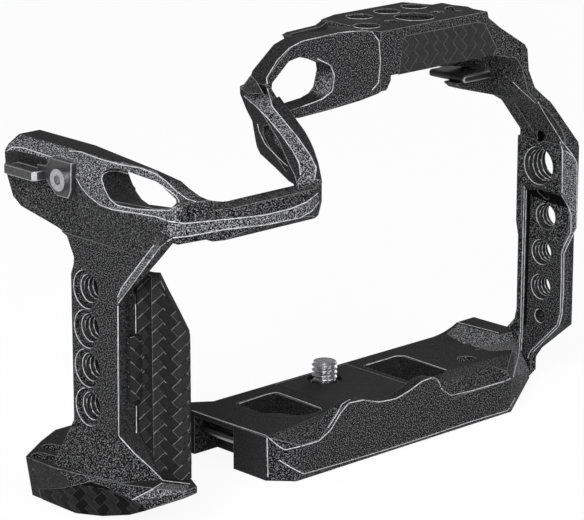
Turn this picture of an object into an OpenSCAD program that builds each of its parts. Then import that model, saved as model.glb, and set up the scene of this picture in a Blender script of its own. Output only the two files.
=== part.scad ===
// Machined cage that clamps round a mirrorless camera body.
// Frame: X to the side, minus Y towards the lens, Z up.
// The origin is the camera screw's axis at the seat under the camera.

/* [Camera seat] */
// Height of the base plate under the camera
base_h = 10.9; // [10.4:0.1:12]
// Front face of the base plate, ahead of the screw axis
base_front = 28; // [27:0.5:30]
// Rear edge of the base plate, behind the screw axis
base_rear = 5.8; // [5.6:0.1:7]
// Left end of the base plate, from the screw axis
base_left = 40; // [39:0.5:42]
// Front edge of the flat seat, ahead of the screw axis
seat_front = 22; // [21:0.5:23]
// Drop of the sloped land between the seat and the front face
seat_drop = 1.9; // [1.4:0.1:2.4]
// Height of the anti-twist lip above the seat
lip_h = 4.9; // [4:0.1:6]
// Thickness of the anti-twist lip
lip_t = 3; // [2.5:0.1:3.5]
// Left end of the anti-twist lip, from the screw axis
lip_left = 28.2; // [27:0.1:29]
// Right end of the anti-twist lip, from the screw axis
lip_right = 16.6; // [15:0.1:18]
// Height of the curb at the right end of the seat
curb_h = 2; // [1:0.1:3]
// Start of the curb's fillet, from the screw axis
curb_start = 43.8; // [43:0.1:46]
// Depth of the two lightening pockets
pocket_depth = 8; // [5:0.5:9]
// Width of the rubber pad round the screw
seat_pad_w = 24; // [20:0.5:28]
// Depth of the rubber pad round the screw, front to back
seat_pad_d = 23.6; // [22:0.1:24.4]
// Thickness of the rubber pad, flush with the seat
seat_pad_t = 0.8; // [0.5:0.1:1.2]

/* [Camera screw] */
// Diameter of the camera screw's thread
screw_d = 6.35; // [6:0.05:6.5]
// Radial clearance of the camera screw in its bores
screw_gap = 0.075; // [0.05:0.005:0.1]
// Reach of the camera screw above the seat when raised
screw_reach = 4.6; // [4:0.1:5.5]
// Diameter of the camera screw's head
screw_head_d = 8.6; // [8:0.1:8.8]
// Thickness of the camera screw's head
screw_head_t = 2; // [1.5:0.1:2.2]
// Depth of the head's counterbore, from the underside
head_bore_depth = 6.2; // [6:0.1:6.6]
// Diameter of the open ring round the thread in the rubber pad
screw_ring_d = 8.6; // [8:0.1:9]

/* [Side column] */
// Inner face of the side column, from the screw axis
side_in = 58.1; // [57.5:0.1:59]
// Thickness of the side column's upper band
side_wall = 6.3; // [6:0.1:6.8]
// Front edge of the side column, ahead of the screw axis
side_front = 24.8; // [24:0.1:25.6]
// Rear edge of the side column, ahead of the screw axis
side_rear = 9.6; // [9:0.1:10]
// Line of the threaded holes in the side column, ahead of the axis
side_hole_y = 16.9; // [16:0.1:18]
// Height of the large threaded hole in the side column
side_big_z = 47.3; // [46.5:0.1:48]
// Height of the top small threaded hole in the side column
side_hole_z = 33.5; // [32:0.1:34]
// Diameter of a large accessory hole
big_hole_d = 9.5; // [9:0.1:9.8]
// Diameter of a small accessory hole
small_hole_d = 6.35; // [6:0.05:6.5]
// Spacing of the accessory hole grid
hole_pitch = 9.15; // [9:0.05:9.3]
// Depth of the channel in the side column's lower half
channel_depth = 1.9; // [1.5:0.1:2.1]
// Thickness of the side column behind the threaded holes
side_boss_t = 7.8; // [7.4:0.1:8.4]

/* [Top plate] */
// Height of the top plate's upper face above the seat
top_z = 92.5; // [91:0.5:95]
// Thickness of the top plate behind the front fascia
top_t = 6; // [5:0.1:7]
// Height of the front fascia
fascia_h = 10.8; // [10:0.1:11.5]
// Left end of the top plate, from the screw axis
top_left = 9.3; // [9:0.1:9.6]
// Right end of the top plate, where it meets the shoulder
top_right = 31; // [30:0.5:32]
// Rear edge of the top plate, ahead of the screw axis
top_rear = 5.8; // [5:0.1:6.5]
// Depth of the recess that holds the fascia inlay
inlay_t = 1.6; // [1.2:0.1:2]
// Distance of the locating holes from the large hole
locating_pitch = 7.75; // [7.5:0.05:8]
// Diameter of the locating holes
locating_d = 3; // [2.6:0.1:3.4]

/* [Shoulder and tongue] */
// Height of the shelf that carries the steel tongue
shelf_z = 72; // [71:0.1:73]
// Thickness of the steel tongue
tongue_t = 1.8; // [1.4:0.1:2.2]
// Width of the steel tongue, front to back
tongue_w = 12; // [11:0.1:13]
// Left end of the steel tongue, from the screw axis
tongue_left = 32; // [31:0.1:33]
// Front edge of the shelf, ahead of the screw axis
shelf_front = 14; // [13.5:0.1:14.5]
// Rear edge of the shelf, ahead of the screw axis
shelf_rear = 9.6; // [9.4:0.1:10.4]

/* [Eyelet plate and bridge] */
// Height of the eyelet plate's top above the seat
eye_z = 94; // [93:0.5:95]
// Height of the eyelet plate
eye_h = 18; // [17:0.5:19]
// Left vertex of the eyelet plate, from the screw axis
eye_left = 45.3; // [45:0.1:46]
// Thickness of the eyelet plate, front to back
eye_t = 8.6; // [8:0.1:9]

/* [Grip ring] */
// Outer face of the handle column, from the screw axis
grip_x = 84; // [82:0.5:86]
// Thickness of the handle column
grip_wall = 5.2; // [4.8:0.1:6]
// Top of the left ring arm above the seat
arm_z = 74; // [73:0.5:75]
// Outward lean of the ring arm's crest past the column's face
arm_lean = 4; // [3:0.1:4.5]
// Front face of the ring's front arm, ahead of the screw axis
ring_front = 49.4; // [48:0.2:51]
// Depth of the ring's front arm, front to back
ring_t = 5.2; // [4.6:0.1:6]
// Drop of the ring's front arm below the top of the ring arm
ring_drop = 7.9; // [7:0.1:8.4]
// Height of the ring's front arm
ring_h = 7; // [6.5:0.1:8]

/* [Handle column] */
// Front edge of the handle column, ahead of the screw axis
grip_front = 22.2; // [21.5:0.1:23]
// Rear edge of the handle column, ahead of the screw axis
grip_rear = 6; // [5.5:0.1:6.5]
// Line of the threaded holes in the handle column
grip_hole_y = 11.3; // [11:0.1:13]
// Height of the lowest threaded hole in the handle column
grip_hole_z = 14.9; // [14:0.1:16]
// Diameter of the countersink round each handle hole
grip_sink_d = 8.6; // [8:0.1:9]

/* [Foot and neck] */
// Left side of the foot, from the screw axis
foot_left = 89; // [88.5:0.1:90]
// Inner side of the foot, from the screw axis
foot_in = 66; // [65:0.5:67]
// Rear edge of the foot and the neck, behind the screw axis
foot_rear = 15.5; // [14:0.5:17]
// Toe of the foot, ahead of the screw axis
foot_front = 36.4; // [35:0.2:38]

/* [Grip pad] */
// Height of the soft grip pad
pad_h = 47.4; // [46:0.2:49]
// Thickness of the soft grip pad
pad_t = 2.6; // [2.2:0.1:3]
// Gap round the soft grip pad
soft_gap = 0.2; // [0.1:0.05:0.3]

/* [Strap bracket] */
// Height of the strap bracket's screw
strap_z = 68; // [67.5:0.1:68.5]
// Place of the strap bracket's screw, ahead of the screw axis
strap_y = 9.5; // [9:0.1:10]
// Thickness of the strap bracket's plate
strap_t = 1.6; // [1.4:0.1:2]
// Outward reach of the strap loop
loop_reach = 3.4; // [3:0.1:4.4]
// Length of the strap loop
loop_l = 8.5; // [8:0.5:9.5]
// Diameter of the strap screw's head
strap_head_d = 5; // [4.5:0.1:5.4]

/* [Stored key] */
// Diameter of the stored key
key_d = 2; // [1.8:0.1:2.4]
// Length of the stored key
key_l = 27; // [25:0.5:28]
// Depth of the stored key's axis under the seat
key_z = 5.2; // [5:0.1:5.6]

/* [Hidden] */

// Top of the ring's front arm
ring_z = arm_z - ring_drop;
// Facets of round shapes
round_fn = 48;
// Overrun of cuts
over = 0.6;
// Largest reach of a cutting block
far = 200;

// Points of an outline given as shares of the box [x0, x1, y0, y1]
function fit(box, shares) = [for (p = shares)
    [box[0] + p[0] * (box[1] - box[0]), box[2] + p[1] * (box[3] - box[2])]];

// Outline in X and Z, drawn out from y0 to y1
module slab_xz(y0, y1) {
    translate([0, y1, 0]) rotate([90, 0, 0]) linear_extrude(y1 - y0) children();
}

// Outline in Y and Z, drawn out from x0 to x1
module slab_yz(x0, x1) {
    translate([x0, 0, 0]) rotate([90, 0, 90]) linear_extrude(x1 - x0) children();
}

// Outline in X and Y, drawn out from z0 to z1
module slab_xy(z0, z1) {
    translate([0, 0, z0]) linear_extrude(z1 - z0) children();
}

// Round hole along X, Y or Z through a point
module hole_x(x0, x1, y, z, d) {
    translate([x0, y, z]) rotate([0, 90, 0]) cylinder(h = x1 - x0, d = d, $fn = round_fn);
}
module hole_z(x, y, z0, z1, d) {
    translate([x, y, z0]) cylinder(h = z1 - z0, d = d, $fn = round_fn);
}

// Base plate: plan of the block, a sloped land in front and the curb at the right
base_corner = 34.3;
base_right = 37.3;
end_root = 15.5;
neck_join = 11.8;
neck_bend = 36.2;
neck_bend_y = 9.1;
neck_start = 31.6;
curb_end = 60;
curb_front = 6.4;
curb_rear = 6.2;
curb_r = 24;
edge_cut = 1.2;
lower_cut = 0.8;
lower_cut_z = 1.7;
base_plan = [[-base_left, neck_join], [-base_left, -seat_front], [-base_corner, -base_front],
    [base_right, -base_front], [side_in, -end_root], [side_in, -side_rear],
    [curb_end, -curb_front], [curb_end, curb_rear], [curb_start, base_rear],
    [-neck_start, base_rear], [-neck_bend, neck_bend_y]];

// Anti-twist lip, as shares of its length and height
lip_shares = [[0, -0.62], [0, -0.4], [0.05, 0.06], [0.1, 0.56], [0.15, 0.84], [0.22, 1],
    [0.31, 0.96], [0.38, 0.7], [0.46, 0.55], [0.53, 0.5], [0.6, 0.55], [0.66, 0.68],
    [0.72, 0.87], [0.76, 1], [0.83, 1], [0.87, 0.85], [0.9, 0.4], [0.95, -0.1],
    [1, -0.36], [1, -0.62]];

// Lightening pockets, as shares of the seat's depth in front of the screw
pocket_a_x = [-29, -16.6];
pocket_b_x = [13.8, 26.8];
pocket_y = [-17.2, 0.9];
pocket_a_shares = [[0, 0.95], [0.06, 1], [0.9, 1], [1, 0.95], [1, 0.06], [0.94, 0],
    [0.62, 0], [0.45, 0.05], [0.35, 0.14], [0.24, 0.32], [0.06, 0.42], [0, 0.48]];
pocket_b_shares = [[0, 0.94], [0.06, 1], [0.93, 1], [1, 0.94], [1, 0.07], [0.93, 0],
    [0.07, 0.03], [0, 0.1]];

// Facet that leans from the seat's land to the foot of the side column
facet_yaw = 38;
facet_lean = 29.6;
under_yaw = 30.6;
under_rise = 4.6;
under_lean = 45;

// Tool recess at the left end
recess_y = [-10.7, 3.2];
recess_x = 32.6;
recess_roof = 1.3;
locate_hole = [37.2, -13];
locate_hole_d = 4.6;
key_y0 = -19;
key_gap = 0.08;
key_x = -36.6;
key_magnet_l = 1.6;
head_bore_gap = 0.3;
shank_d = 5.6;
screw_land = 1;
washer_t = 0.6;
washer_gap = 0.1;

// Corner that widens under the right end
module under_corner() {
    translate([base_right, -base_front, -base_h]) rotate([0, 0, under_yaw])
        rotate([0, -under_rise, 0]) rotate([-under_lean, 0, 0])
        translate([-over, -far, -far]) cube([side_in, far * 2, far]);
}

module base_plate() {
    color("#26272a") difference() {
        union() {
            difference() {
                slab_xy(-base_h, 0) polygon(base_plan);
                // sloped land in front of the seat
                slab_yz(-far, base_right) polygon([[-seat_front, 0], [-seat_front, over],
                    [-base_front - over, over], [-base_front - over, -seat_drop],
                    [-base_front, -seat_drop]]);
                // facet to the foot of the side column
                translate([base_right, -base_front, -seat_drop]) rotate([0, 0, facet_yaw])
                    rotate([-facet_lean, 0, 0]) translate([-over, -far, -far])
                    cube([side_in, far, far * 2]);
                under_corner();
                // lower edge of the front face
                slab_yz(-far, far) polygon([[-base_front - over, -base_h - over],
                    [-base_front + lower_cut, -base_h - over], [-base_front + lower_cut, -base_h],
                    [-base_front, -base_h + lower_cut_z],
                    [-base_front - over, -base_h + lower_cut_z]]);
            }
            // anti-twist lip
            slab_xz(-base_front, -base_front + lip_t)
                polygon(fit([-lip_left, lip_right, 0, lip_h], lip_shares));
            // curb with its fillet
            intersection() {
                slab_xy(-over, curb_h) polygon([[curb_start, -side_rear],
                    [side_in, -side_rear], [curb_end, -curb_front], [curb_end, curb_rear],
                    [curb_start, base_rear]]);
                difference() {
                    slab_xz(-far, far) polygon([[curb_start, -over], [curb_end, -over],
                        [curb_end, curb_h], [curb_start, curb_h]]);
                    translate([curb_start, 0, curb_r]) rotate([90, 0, 0])
                        cylinder(h = far, r = curb_r, center = true, $fn = round_fn * 2);
                }
            }
        }
        // lightening pockets
        slab_xy(-pocket_depth, over)
            polygon(fit([pocket_a_x[0], pocket_a_x[1], pocket_y[0], pocket_y[1]], pocket_a_shares));
        slab_xy(-pocket_depth, over)
            polygon(fit([pocket_b_x[0], pocket_b_x[1], pocket_y[0], pocket_y[1]], pocket_b_shares));
        // recess of the rubber pad
        translate([-seat_pad_w / 2, base_rear - soft_gap * 4 - seat_pad_d, -seat_pad_t])
            cube([seat_pad_w, seat_pad_d, seat_pad_t + over]);
        // camera screw
        hole_z(0, 0, -base_h + head_bore_depth + screw_land, over, screw_d + screw_gap * 2);
        hole_z(0, 0, -base_h - over, over, shank_d + screw_gap * 2);
        hole_z(0, 0, -base_h - over, -base_h + head_bore_depth, screw_head_d + head_bore_gap * 2);
        hole_z(locate_hole[0], locate_hole[1], -base_h - over, over, locate_hole_d);
        // tool recess with the bore of the stored key
        translate([-base_left - over, recess_y[0], -base_h - over])
            cube([base_left + over - recess_x, recess_y[1] - recess_y[0],
                base_h + over - recess_roof]);
        translate([key_x, key_y0 - key_magnet_l - key_gap * 2, -key_z]) rotate([-90, 0, 0])
            cylinder(h = far, d = key_d + key_gap * 2, $fn = round_fn);
    }
}

// Neck that joins the base plate to the foot behind the camera's grip
neck_front = 5.2;
neck_rear_x = 44;
module handle_neck() {
    color("#26272a") difference() {
        slab_xy(-base_h, 0) polygon([[-base_left, neck_join], [-neck_rear_x, foot_rear],
            [-foot_in, foot_rear], [-foot_in, neck_front], [-base_left, neck_front]]);
        slab_yz(-far, far) polygon([[neck_front - over, -base_h - over],
            [neck_front + edge_cut, -base_h - over], [neck_front + edge_cut, -base_h],
            [neck_front, -base_h + edge_cut], [neck_front - over, -base_h + edge_cut]]);
    }
}

// Foot: plan as shares of its width and length, underside rising to the toe
foot_plan_shares = [[1, 1], [0.72, 1], [0.4, 0.925], [0, 0.81], [0, 0.62], [0.07, 0.47],
    [0.2, 0.24], [0.36, 0.1], [0.49, 0], [0.68, 0.01], [0.77, 0.09], [0.86, 0.24], [1, 0.4]];
foot_under_shares = [[0, 1], [0, 0.88], [0.16, 0.47], [0.25, 0.28], [0.4, 0.09], [0.55, 0],
    [1, 0], [1, 1]];
foot_cut_turn = -17;
foot_cut_yaw = [0, 15];
foot_cut_y = [0, -9];
foot_patch_t = 0.8;
foot_patch_shares = [[0.03, 0], [0, 0.3], [0.09, 0.62], [0.33, 0.86], [0.45, 0.88],
    [0.72, 0.52], [0.97, 0.27], [0.97, 0]];
foot_patch_y = [-31, 5.4];
slot_a = [-86, 2.6];
slot_b = [-80.5, 5.6];
slot_turn = 12;
slot_l = 6.5;
slot_w = 3.6;
slot_depth = 3;
flare_z = 10.6;
flare_front = 27.8;
flare_in = 76;
flare_rear = 3.2;

module foot_body() {
    intersection() {
        slab_xy(-base_h, 0) polygon(fit([-foot_left, -foot_in, -foot_front, foot_rear],
            foot_plan_shares));
        slab_yz(-far, far) polygon(fit([-foot_front, foot_rear, -base_h, 0],
            foot_under_shares));
    }
}

module foot_facet(depth) {
    // planes that draw the foot's left side in towards its underside
    for (k = [0, 1]) translate([-foot_left, foot_cut_y[k], 0])
        rotate([0, 0, foot_cut_yaw[k]]) rotate([0, foot_cut_turn, 0])
        translate([-far, -far, -far]) cube([far + depth, far * 2, far * 2]);
}

module foot_patch_outline(grow) {
    slab_yz(-far, 0) polygon(fit([foot_patch_y[0] - grow, foot_patch_y[1] + grow,
        -base_h - over, grow], foot_patch_shares));
}

module handle_foot() {
    color("#242528") difference() {
        foot_body();
        intersection() {
            foot_facet(foot_patch_t);
            foot_patch_outline(0);
        }
        foot_facet(0);
        // two strap slots in the rear of the top
        for (s = [slot_a, slot_b]) translate([s[0], s[1], -slot_depth]) rotate([0, 0, slot_turn])
            hull() {
                translate([0, slot_w / 2 - slot_l / 2, 0])
                    cylinder(h = slot_depth + over, d = slot_w, $fn = 24);
                translate([0, slot_l / 2 - slot_w / 2, 0])
                    cylinder(h = slot_depth + over, d = slot_w, $fn = 24);
            }
    }
}

// Woven rubber patch on the foot's left side
module foot_inlay() {
    color("#1b1b1c") intersection() {
        difference() {
            foot_body();
            foot_facet(0);
        }
        foot_facet(foot_patch_t - soft_gap / 2);
        foot_patch_outline(-soft_gap);
    }
}

// Handle column: outline in Y and Z as shares of its depth and height
split_z = 54;
column_front = 34;
column_rear = 2.8;
column_shares = [[0.378, 0], [0.378, 0.734], [0, 1], [1, 1], [0.935, 0.984], [0.86, 0.885],
    [0.863, 0.85], [0.897, 0.79], [0.897, 0]];
sink_depth = 1.1;

// Flare that spreads from the column to the foot
module flare(grow) {
    hull() {
        translate([-grip_x, -grip_front - grow, flare_z - edge_cut / 2])
            cube([grip_wall + grow, grip_front - grip_rear + grow, edge_cut / 2 + grow]);
        slab_xy(0, edge_cut / 2) polygon([[-foot_left + edge_cut, -flare_rear],
            [-foot_left + edge_cut * 2, -grip_hole_y], [-grip_x, -grip_front - grow],
            [-flare_in + grow, -flare_front - grow], [-grip_x + grip_wall + grow, -flare_rear]]);
    }
}

// Chamfer along the inner edge of the sloped front, on the column and the ring arm
front_cut_x = 2.4;
front_cut_depth = 2.6;
front_slope_z = flare_z + column_shares[1][1] * (split_z - flare_z);
module front_corner() {
    translate([-grip_x + grip_wall, -grip_front, front_slope_z])
        rotate([atan2(column_front - grip_front, split_z - front_slope_z), 0, 0])
        translate([-front_cut_x, 0, 0]) rotate([0, 0, atan2(front_cut_depth, front_cut_x)])
        translate([-far, -far * 2, 0]) cube([far * 2, far * 2, far]);
}

module handle_column() {
    color("#26272a") difference() {
        union() {
            slab_yz(-grip_x, -grip_x + grip_wall)
                polygon(fit([-column_front, -column_rear, flare_z, split_z], column_shares));
            flare(0);
        }
        front_corner();
        for (k = [0:3]) {
            hole_x(-foot_left - over, -flare_in + over, -grip_hole_y,
                grip_hole_z + k * hole_pitch, small_hole_d);
            hole_x(-grip_x - over, -grip_x + sink_depth, -grip_hole_y,
                grip_hole_z + k * hole_pitch, grip_sink_d);
        }
    }
}

// Ring arm: outline in Y and Z as shares, crest leaning out past the column
arm_front = 50;
arm_rear = 13.8;
arm_outline_shares = [[0.251, 0], [0.172, 0.265], [0.141, 0.3], [0, 0.3], [0, 0.62],
    [0.016, 0.65], [0.049, 0.72], [0.078, 0.765], [0.113, 0.835], [0.157, 0.925],
    [0.219, 1], [0.953, 1], [0.964, 0.89], [0.98, 0.79], [0.997, 0.54], [0.987, 0.265],
    [0.951, 0.165], [0.765, 0.04], [0.727, 0]];
arm_slot_shares = [[0.469, 0.82], [0.458, 0.87], [0.43, 0.915], [0.398, 0.925],
    [0.2, 0.9], [0.1, 0.795], [0.07, 0.745], [0.085, 0.7], [0.16, 0.645], [0.38, 0.6],
    [0.42, 0.63], [0.44, 0.67]];
arm_plan_shares = [[0, 1], [0, 0.12], [0.2, 0.07], [0.6, 0.06], [1, 0.05],
    [1, 0.09], [0.93, 0.12], [0.87, 0.19], [0.87, 0.62], [0.9, 1]];
arm_in = 77.4;
arm_top_in = 78.3;
arm_facet_y = 5.6;
arm_facet_yaw = 10.2;
arm_facet_turn = 60;
// Cross sections of the arm, as shares of its width and height
arm_front_shares = [[1, 0], [0.41, 0], [0, 0.5], [0.35, 1], [1, 1]];
arm_rear_shares = [[1, 0], [0.41, 0], [0.07, 0.84], [0.11, 0.9], [0.35, 1], [1, 1]];
arm_crest_y = [-25.5, -9.8];
strap_seat_t = 1;
seat_margin = 0.25;
strap_tap_d = 2.5;

module arm_section(y0, y1, shares) {
    slab_xz(y0, y1) polygon(fit([-grip_x - arm_lean - over / 2, -arm_in, split_z, arm_z], shares));
}

module ring_arm() {
    color("#26272a") difference() {
        intersection() {
            union() {
                arm_section(-arm_front, arm_crest_y[0], arm_front_shares);
                hull() {
                    arm_section(arm_crest_y[0], arm_crest_y[0] + over, arm_front_shares);
                    arm_section(arm_crest_y[1] - over, arm_crest_y[1], arm_rear_shares);
                }
                arm_section(arm_crest_y[1], arm_rear, arm_rear_shares);
            }
            slab_yz(-far, far)
                polygon(fit([-arm_front, arm_rear, split_z, arm_z], arm_outline_shares));
            slab_xy(split_z, arm_z)
                polygon(fit([-grip_x - arm_lean - over, -arm_in, -arm_front, arm_rear],
                    arm_plan_shares));
        }
        slab_yz(-far, far)
            polygon(fit([-arm_front, arm_rear, split_z, arm_z], arm_slot_shares));
        intersection() {
            front_corner();
            slab_xy(-far, ring_z - ring_h) square(far * 2, center = true);
        }
        // facet that narrows the top towards the front
        translate([-arm_top_in, -arm_facet_y, arm_z]) rotate([0, 0, -arm_facet_yaw])
            rotate([0, -arm_facet_turn, 0]) translate([0, -far, -far])
            cube([far, far, far * 2]);
        // seat and thread of the strap bracket
        strap_outline(seat_margin, strap_seat_t + strap_t);
        hole_x(-far, -grip_x + edge_cut, -strap_y, strap_z, strap_tap_d);
    }
}

// Front arm of the ring, as shares of its length, depth and height
front_arm_end = 43.4;
front_plan_shares = [[0, 0.9], [0, 0.48], [0.25, 0], [0.69, 0.07], [0.81, 0.17], [1, 0.75],
    [1, 1], [0.27, 1]];
front_section_shares = [[0.22, 1], [0, 0.55], [0.06, 0.24], [0.34, 0], [1, 0], [1, 1]];
front_end_cut = 2.4;
front_arm_in = 1.6;

module ring_front_arm() {
    color("#26272a") intersection() {
        slab_xy(ring_z - ring_h, ring_z) polygon(fit([-arm_in, -front_arm_end,
            -ring_front, -ring_front + ring_t + front_arm_in], front_plan_shares));
        slab_yz(-far, far) polygon(fit([-ring_front, -ring_front + ring_t + front_arm_in,
            ring_z - ring_h, ring_z], front_section_shares));
        slab_xz(-far, far) polygon([[-arm_in, ring_z - ring_h], [-arm_in, ring_z],
            [-front_arm_end, ring_z], [-front_arm_end, ring_z - ring_h + front_end_cut],
            [-front_arm_end - front_end_cut, ring_z - ring_h]]);
    }
}

// Bridge bar that climbs from the front arm to the eyelet plate
bridge_left = 51.4;
bridge_right = 39.6;
bridge_front = 46;
bridge_rear = 20;
bridge_top = 86;
bridge_side_shares = [[1, 0.97], [0.9, 0.985], [0.79, 0.925], [0.54, 0.787], [0.315, 0.664],
    [0.165, 0.545], [0.08, 0.45], [0.03, 0.35], [0, 0.27], [0, 0.2], [0.096, 0.284],
    [0.27, 0.325], [0.454, 0.369], [0.654, 0.418], [0.71, 0.466], [0.738, 0.53],
    [0.79, 0.67], [0.89, 0.746], [1, 0.86]];
bridge_band_shares = [[1, -1], [1, 0.97], [0.9, 0.985], [0.79, 0.925], [0.54, 0.787], [0.315, 0.664],
    [0.165, 0.545], [0.08, 0.45], [0.03, 0.35], [0, 0.27], [0, -1]];
bridge_lean_share = 0.19;
bridge_plan_shares = [[0.48, 1], [0.16, 0.4], [0, 0.15], [0, 0], [0.57, 0], [0.72, 0.23],
    [0.88, 0.69], [1, 1]];
bridge_slot_shares = [[0.595, 0.66], [0.6, 0.6], [0.52, 0.53], [0.2, 0.37], [0.16, 0.4],
    [0.19, 0.46], [0.34, 0.59], [0.52, 0.69]];
bridge_slot_reach = 4.8;

module bridge_bar() {
    color("#26272a") difference() {
        intersection() {
            slab_yz(-bridge_left, -bridge_right) polygon(fit([-bridge_front, -bridge_rear,
                ring_z - ring_h, bridge_top], bridge_side_shares));
            slab_xy(ring_z - ring_h, bridge_top) polygon(fit([-bridge_left, -bridge_right,
                -bridge_front, -bridge_rear], bridge_plan_shares));
            // upper band that leans to the left
            multmatrix([[1, 0, 0, 0], [0, 1, 0, 0],
                [bridge_lean_share, 0, 1, bridge_lean_share * bridge_right], [0, 0, 0, 1]])
                slab_yz(-bridge_left - over, -bridge_right + over)
                polygon(fit([-bridge_front, -bridge_rear, ring_z - ring_h, bridge_top],
                bridge_band_shares));
        }
        slab_yz(-far, -bridge_left + bridge_slot_reach) polygon(fit([-bridge_front,
            -bridge_rear, ring_z - ring_h, bridge_top], bridge_slot_shares));
        eyelet_block();
        front_arm_block();
    }
}

// Space of the front arm, cut from the bridge bar so that the two meet face to face
module front_arm_block() {
    slab_xy(-far, ring_z) polygon([[-far, -far], [-front_arm_end, -far],
        [-front_arm_end, -ring_front + ring_t + front_arm_in],
        [-far, -ring_front + ring_t + front_arm_in]]);
}

// Eyelet plate beside the top plate
eye_right = 9.3;
eye_shares = [[0.31, 0.99], [0.21, 0.93], [0.03, 0.65], [0, 0.52], [0.07, 0.3], [0.25, 0.02],
    [0.54, 0.05], [0.74, 0.105], [0.93, 0.15], [1, 0.27], [1, 0.8], [0.92, 0.94], [0.72, 1]];
eye_hole_shares = [[0.29, 0.79], [0.49, 0.67], [0.57, 0.6], [0.58, 0.5], [0.55, 0.29],
    [0.51, 0.22], [0.44, 0.18], [0.2, 0.14], [0.16, 0.17], [0.055, 0.46], [0.06, 0.53],
    [0.2, 0.76]];
eye_web_t = 5.5;
eye_web_shares = [[-0.1, -0.1], [-0.1, 1.1], [0.33, 1.1], [0.38, 0.93], [0.47, 0.85],
    [1.1, 0.85], [1.1, -0.1]];

module eyelet_block() {
    slab_xz(-base_front, -base_front + eye_t)
        polygon(fit([-eye_left, -eye_right, eye_z - eye_h, eye_z], eye_shares));
}

module eyelet_plate() {
    color("#26272a") difference() {
        eyelet_block();
        slab_xz(-far, far)
            polygon(fit([-eye_left, -eye_right, eye_z - eye_h, eye_z], eye_hole_shares));
        // thinner web behind the hole's inner end
        slab_xz(-base_front + eye_web_t, far)
            polygon(fit([-eye_left, -eye_right, eye_z - eye_h, eye_z], eye_web_shares));
        // edge of the top plate's left hole
        hole_z(top_grid_shares[3][0] * hole_pitch, -top_row_y, top_z - fascia_h - over,
            eye_z + over, small_hole_d);
    }
}

// Top plate with its hole grid, as shares of its width and depth
top_plan_shares = [[0, 0.9], [0.16, 1], [0.73, 1], [0.8, 0.68], [1, 0.68], [1, 0], [0, 0]];
top_slope_x = 26.4;
fascia_step = [7.2, 5.8];
fascia_step_z = 3.3;
inlay_shares = [[0, -0.02], [0.04, 0.93], [0.06, 1], [0.78, 1], [0.86, 0.92], [0.99, 0.15],
    [0.95, -0.02]];
inlay_left = 3.2;
inlay_right = 30.2;
inlay_drop = 2.2;
inlay_gap = 0.1;
top_row_y = 20.7;
top_grid_shares = [[0, 1], [1, 1], [2, 1], [-0.72, 0], [2.63, 0]];
fascia_t = 6;
shoulder_drop = 4.5;
slope_drop = 1.6;

module inlay_outline() {
    polygon(fit([-inlay_left, inlay_right, top_z - fascia_h, top_z - inlay_drop],
        inlay_shares));
}

module top_plate() {
    color("#26272a") difference() {
        union() {
            intersection() {
                slab_xy(top_z - top_t, top_z) polygon(fit([-top_left, top_right,
                    -base_front, -top_rear], top_plan_shares));
                slab_xz(-far, far) polygon([[-far, top_z - fascia_h - over],
                    [-far, top_z], [top_slope_x, top_z],
                    [top_slope_x + slope_drop / 3, top_z - slope_drop],
                    [top_right, top_z - shoulder_drop],
                    [top_right, top_z - fascia_h - over]]);
            }
            slab_xz(-base_front, -base_front + fascia_t) polygon([
                [-top_left, top_z - fascia_h - fascia_step_z], [-top_left, top_z],
                [top_slope_x, top_z], [top_slope_x + slope_drop / 3, top_z - slope_drop],
                [top_right, top_z - shoulder_drop],
                [top_right, top_z - fascia_h], [-fascia_step[1], top_z - fascia_h],
                [-fascia_step[1], top_z - fascia_h - fascia_step_z / 3],
                [-fascia_step[0], top_z - fascia_h - fascia_step_z]]);
        }
        slab_xz(-base_front - over, -base_front + inlay_t) inlay_outline();
        hole_z(hole_pitch, -top_row_y, top_z - fascia_h - over, top_z + over, big_hole_d);
        for (g = top_grid_shares) hole_z(g[0] * hole_pitch, -top_row_y + g[1] * hole_pitch,
            top_z - fascia_h - over, top_z + over, small_hole_d);
        for (s = [-1, 1]) hole_z(hole_pitch + s * locating_pitch, -top_row_y,
            top_z - top_t / 2, top_z + over, locating_d);
    }
}

// Bare woven inlay in the fascia
module fascia_inlay() {
    color("#1e1f21") difference() {
        slab_xz(-base_front + inlay_gap, -base_front + inlay_t) inlay_outline();
        slab_xy(-far, far) polygon([[top_right, -far], [far, -far], [far, 0], [top_right, 0]]);
    }
}

// Shoulder: full outline in front, a shelf for the tongue behind
shoulder_top_y = 13;
shoulder_front = 27;
shoulder_shares = [[0, 0.883], [0.293, 0.739], [0.33, 0.7], [0.355, 0.56], [0.445, 0.437],
    [0.575, 0.359], [0.66, 0.312], [0.71, 0.268], [0.985, 0], [0.836, 0], [0.836, 0.04],
    [0.79, 0.11], [0.7, 0.2], [0.62, 0.262], [0.51, 0.315], [0.34, 0.43], [0.26, 0.6],
    [0.2, 0.66], [0, 0.7]];
shelf_shares = [[0, 0.973], [0.05, 0.909], [0.38, 0.738], [0.51, 0.674], [0.62, 0.56],
    [0.7, 0.385], [0.836, 0.086], [0.836, 0], [0.985, 0], [0.71, 0.573], [0.66, 0.667],
    [0.575, 0.768], [0.445, 0.935], [0.42, 1], [0, 1]];
shelf_left = 31;
tongue_screw_d = 4.4;
tongue_sink_d = 4.6;

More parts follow.
